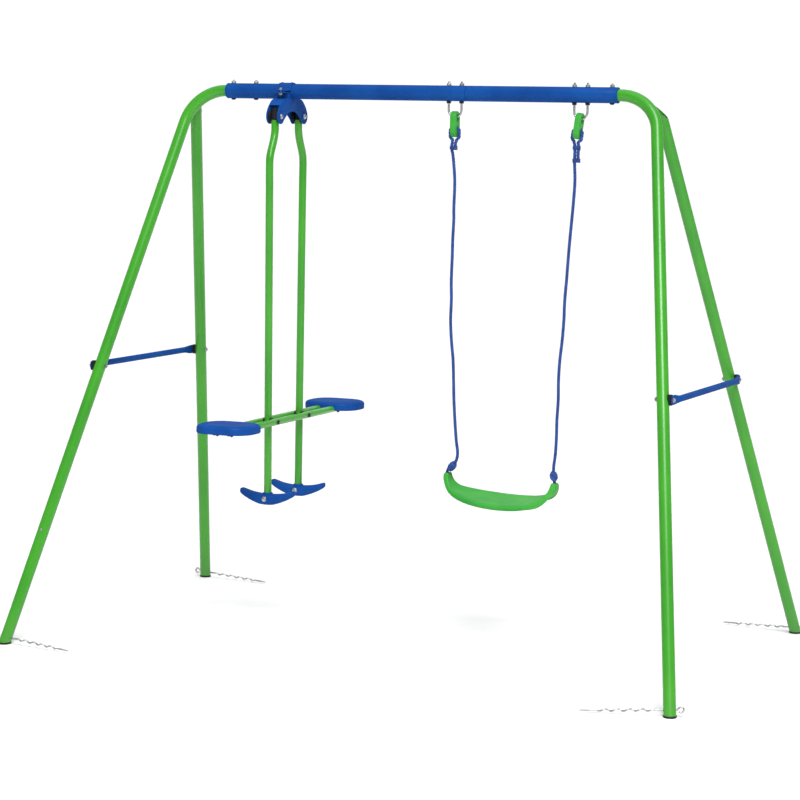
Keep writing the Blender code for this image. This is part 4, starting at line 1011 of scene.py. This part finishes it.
def make_arms():
    """Swinging arms with their plugs, boots and bushes, and the bolts and spacers that hold the rails."""
    plug_shape = ((0.0, 0.0128), (0.001, 0.013), (0.0022, 0.0124), (0.003, 0.01), (0.0032, 0.003))
    boot_shape = ((0.0, 0.0122), (0.0004, 0.013), (0.03, 0.0132), (0.0306, 0.0136),
                  (0.034, 0.0136), (0.0346, 0.0132), (0.035, 0.012))
    bush_shape = ((0.0, 0.015), (0.0006, 0.0184), (0.0014, 0.019), (0.0056, 0.0192),
                  (0.0068, 0.0186), (0.0072, 0.012), (0.0072, 0.006))
    depths = ((0.008, 0.0008), (0.0088, 0.0), (0.0136, 0.0), (0.0143, 0.0008))
    for sy, end in ENDS:
        body = "glider_%s_arm" % end
        tube = rod(arm_route(sy), ARM_R, 0.0006, 40)
        build("arm_tube_" + end, [tube], GREEN_PAINT, "glider_arm_" + end, body=body)
        top = Vector((GLIDER_X, sy * PIVOT_Y, 1.7215))
        build("arm_plug_" + end, [turned(top, Z_AXIS, plug_shape)], BLACK_PLASTIC, body=body)
        build("arm_boot_" + end, [turned(top, -Z_AXIS, boot_shape, 40)], BLACK_PLASTIC, body=body)
        bushes = [turned((GLIDER_X + sx * 0.0105, sy * PIVOT_Y, PIVOT_Z), X_AXIS * sx, bush_shape)
                  for sx, _ in SIDES]
        build("arm_bushes_" + end, bushes, BLACK_PLASTIC, body=body)

        centre = Vector((GLIDER_X, sy * RAIL_Y, RAIL_Z))
        rail_out = X_AXIS * (RAIL_X + RAIL_R)
        inner = centre - rail_out
        shells = [dome(centre + rail_out + X_AXIS * 0.0004, -X_AXIS, 0.0082, 0.005),
                  peg(inner - X_AXIS * 0.001, X_AXIS, 0.0039, 2.0 * rail_out.x + 0.002),
                  hexagon(inner - X_AXIS * 0.0006, -X_AXIS, 0.013, 0.0062),
                  thread(inner - X_AXIS * 0.0064, -X_AXIS, 0.004, 0.0038)]
        build("rail_bolt_%s_set" % end, shells, BLACK_STEEL, "rail_bolt_" + end, body=body)
        for sx, side in SIDES:
            tube = peg(centre - Z_AXIS * 0.03, Z_AXIS, ARM_R + 0.0002, 0.06, 48)
            pad("rail_spacer_pad_%s_%s" % (end, side), "rail_spacer_%s_%s" % (end, side),
                centre, sx, (0.0236, 0.023), 0.0052, depths, tube, body)


def make_footrests():
    """Boomerang footrests: a thick hub over the arm's end and two grooved wings."""
    # from a wing's tip to the hub: distance, height, half depth and half thickness
    wing = ((0.097, 0.4675, 0.0085, 0.0045), (0.0962, 0.4672, 0.0125, 0.0066),
            (0.0935, 0.4662, 0.017, 0.0088), (0.088, 0.4635, 0.02, 0.0101),
            (0.081, 0.46, 0.0215, 0.011), (0.06, 0.452, 0.0235, 0.0135),
            (0.033, 0.445, 0.0265, 0.0165), (0.015, 0.443, 0.028, 0.018))
    rows = smooth([(-u, z, a, b) for u, z, a, b in wing] + list(reversed(wing)), 0.0016)
    collar_shape = ((0.0, 0.0175), (0.0036, 0.0168), (0.0058, 0.0158), (0.0068, 0.0146), (0.0066, 0.0128),
                    (0.002, 0.0126))
    for sy, end in ENDS:
        body = "glider_%s_arm" % end
        rings = []
        for u, z, a, b in rows:
            ring = []
            for c, s in circle(40):
                y = math.copysign(abs(c) ** 0.7, c) * a
                v = math.copysign(abs(s) ** 0.7, s) * b
                tread = 0.0
                if s > 0.55 and 0.024 < abs(u) < 0.086 and abs(y) < a * 0.72:
                    tread = 0.0007 * max(0.0, math.sin(abs(u) * math.tau / 0.0085))
                ring.append((GLIDER_X + u, sy * ARM_END_Y + y, z + v + tread))
            rings.append(ring)
        build("footrest_wing_" + end, [skin(rings)], BLUE_PLASTIC, "footrest_" + end, body=body, sharp=50.0)
        collar = turned((GLIDER_X, sy * ARM_END_Y, 0.4585), Z_AXIS, collar_shape, 40)
        build("footrest_collar_" + end, [collar], BLUE_PLASTIC, body=body)
        low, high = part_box("footrest_bolt_" + end)
        front = Vector((GLIDER_X, sy * ARM_END_Y - 0.0276, (low.z + high.z) / 2.0))
        back = front + Y_AXIS * 0.0552
        shells = [washer(front, -Y_AXIS, 0.0086), dome(front - Y_AXIS * 0.0012, Y_AXIS, 0.0076, 0.004)]
        shells += nut(back, Y_AXIS, 0.0116, 0.0052, 0.0078)
        shells.append(thread(back + Y_AXIS * 0.0062, Y_AXIS, 0.003, 0.003, 0.001))
        build("footrest_bolt_%s_set" % end, shells, ZINC, "footrest_bolt_" + end, body=body)


def make_rails():
    """Seat rails with plugged ends, and the nuts that hold the seats to them."""
    plug_shape = ((0.0, 0.0112), (0.0008, 0.0115), (0.002, 0.011), (0.003, 0.0086), (0.0033, 0.002))
    for sx, side in SIDES:
        x = GLIDER_X + sx * RAIL_X
        tube = rod([(x, y, RAIL_Z) for y in (-RAIL_HALF, -0.2, 0.2, RAIL_HALF)], RAIL_R, 0.0006, 40)
        build("rail_tube_" + side, [tube], GREEN_PAINT, "seat_rail_" + side, body="glider_seats")
        plugs = []
        nuts = []
        for sy, _ in ENDS:
            plugs.append(turned((x, sy * (RAIL_HALF - 0.0006), RAIL_Z), Y_AXIS * sy, plug_shape))
            for y in (0.372, 0.428):
                under = Vector((x, sy * y, RAIL_Z - RAIL_R + 0.0003))
                nuts.append(washer(under, -Z_AXIS, 0.0066, 0.001))
                nuts.append(dome(under - Z_AXIS * 0.0009, Z_AXIS, 0.0052, 0.005))
        build("rail_plugs_" + side, plugs, BLACK_PLASTIC, body="glider_seats")
        build("seat_nuts_" + side, nuts, BLACK_STEEL, body="glider_seats")


def make_seats():
    """Moulded seats: a crowned top with a soft edge, a skirt, and ribs in the hollow below."""
    # height, inset and corner radius, from the middle of the hollow over the skirt to the middle of the top
    levels = ((0.7105, 0.076, 0.005), (0.7105, 0.0052, 0.0605), (0.71, 0.0046, 0.061),
              (0.695, 0.004, 0.0615), (0.6945, 0.003, 0.063), (0.6946, 0.0018, 0.0642),
              (0.6958, 0.0006, 0.0654), (0.698, 0.0, 0.066), (0.71, 0.0, 0.066),
              (0.714, 0.0006, 0.0655), (0.7172, 0.0024, 0.0642), (0.7198, 0.0055, 0.0615),
              (0.7216, 0.01, 0.058), (0.7227, 0.016, 0.052), (0.7233, 0.024, 0.045),
              (0.723, 0.034, 0.037), (0.7224, 0.048, 0.026), (0.7219, 0.062, 0.015),
              (0.7216, 0.074, 0.006))
    rib_faces = [(0, 1, 3, 2), (2, 3, 5, 4), (4, 5, 7, 6), (6, 7, 1, 0), (0, 2, 4, 6), (1, 7, 5, 3)]
    for sy, end in ENDS:
        rings = []
        for z, inset, corner in levels:
            outline = rounded(SEAT_W - 2.0 * inset, SEAT_D - 2.0 * inset, corner, 14)
            rings.append([(GLIDER_X + u, sy * SEAT_Y + v, z) for u, v in outline])
        seat = plain("seat_shell_" + end, [skin(rings)])
        tools = []
        gate = sy * (SEAT_Y - SEAT_D / 2.0)
        arch = [(-0.0118, 0.685), (0.0118, 0.685)]
        arch += [(0.0118 * math.cos(a), 0.7003 + 0.0112 * math.sin(a)) for a in np.linspace(0.0, math.pi, 15)]
        for sx, _ in SIDES:
            x = GLIDER_X + sx * RAIL_X
            tool_rings = [[(x + u, gate + d, z) for u, z in arch] for d in (-0.012, 0.012)]
            tools.append(plain("tool", [skin(tool_rings)]))
        carve(seat, tools)
        dress(seat, BLUE_PLASTIC, "glider_seat_" + end, body="glider_seats", sharp=40.0)
        ribs = []
        for u in (-0.072, -0.048, 0.0, 0.048, 0.072):
            reach = 0.06 if abs(u) > 0.06 else 0.074
            profile = ((-reach, 0.711), (reach, 0.711), (reach * 0.96, 0.7), (-reach * 0.96, 0.7))
            corners = [(GLIDER_X + u + du, sy * SEAT_Y + v, z)
                       for v, z in profile for du in (-0.001, 0.001)]
            ribs.append((corners, rib_faces))
        build("seat_ribs_" + end, ribs, BLUE_PLASTIC, body="glider_seats")


set_camera()
set_stage()
make_ropes()
make_beam()
make_legs()
make_foot_caps()
make_crossbars()
make_bolts()
make_anchors()
make_hangers()
make_connectors()
make_swing_seat()
make_bracket()
make_arms()
make_footrests()
make_rails()
make_seats()
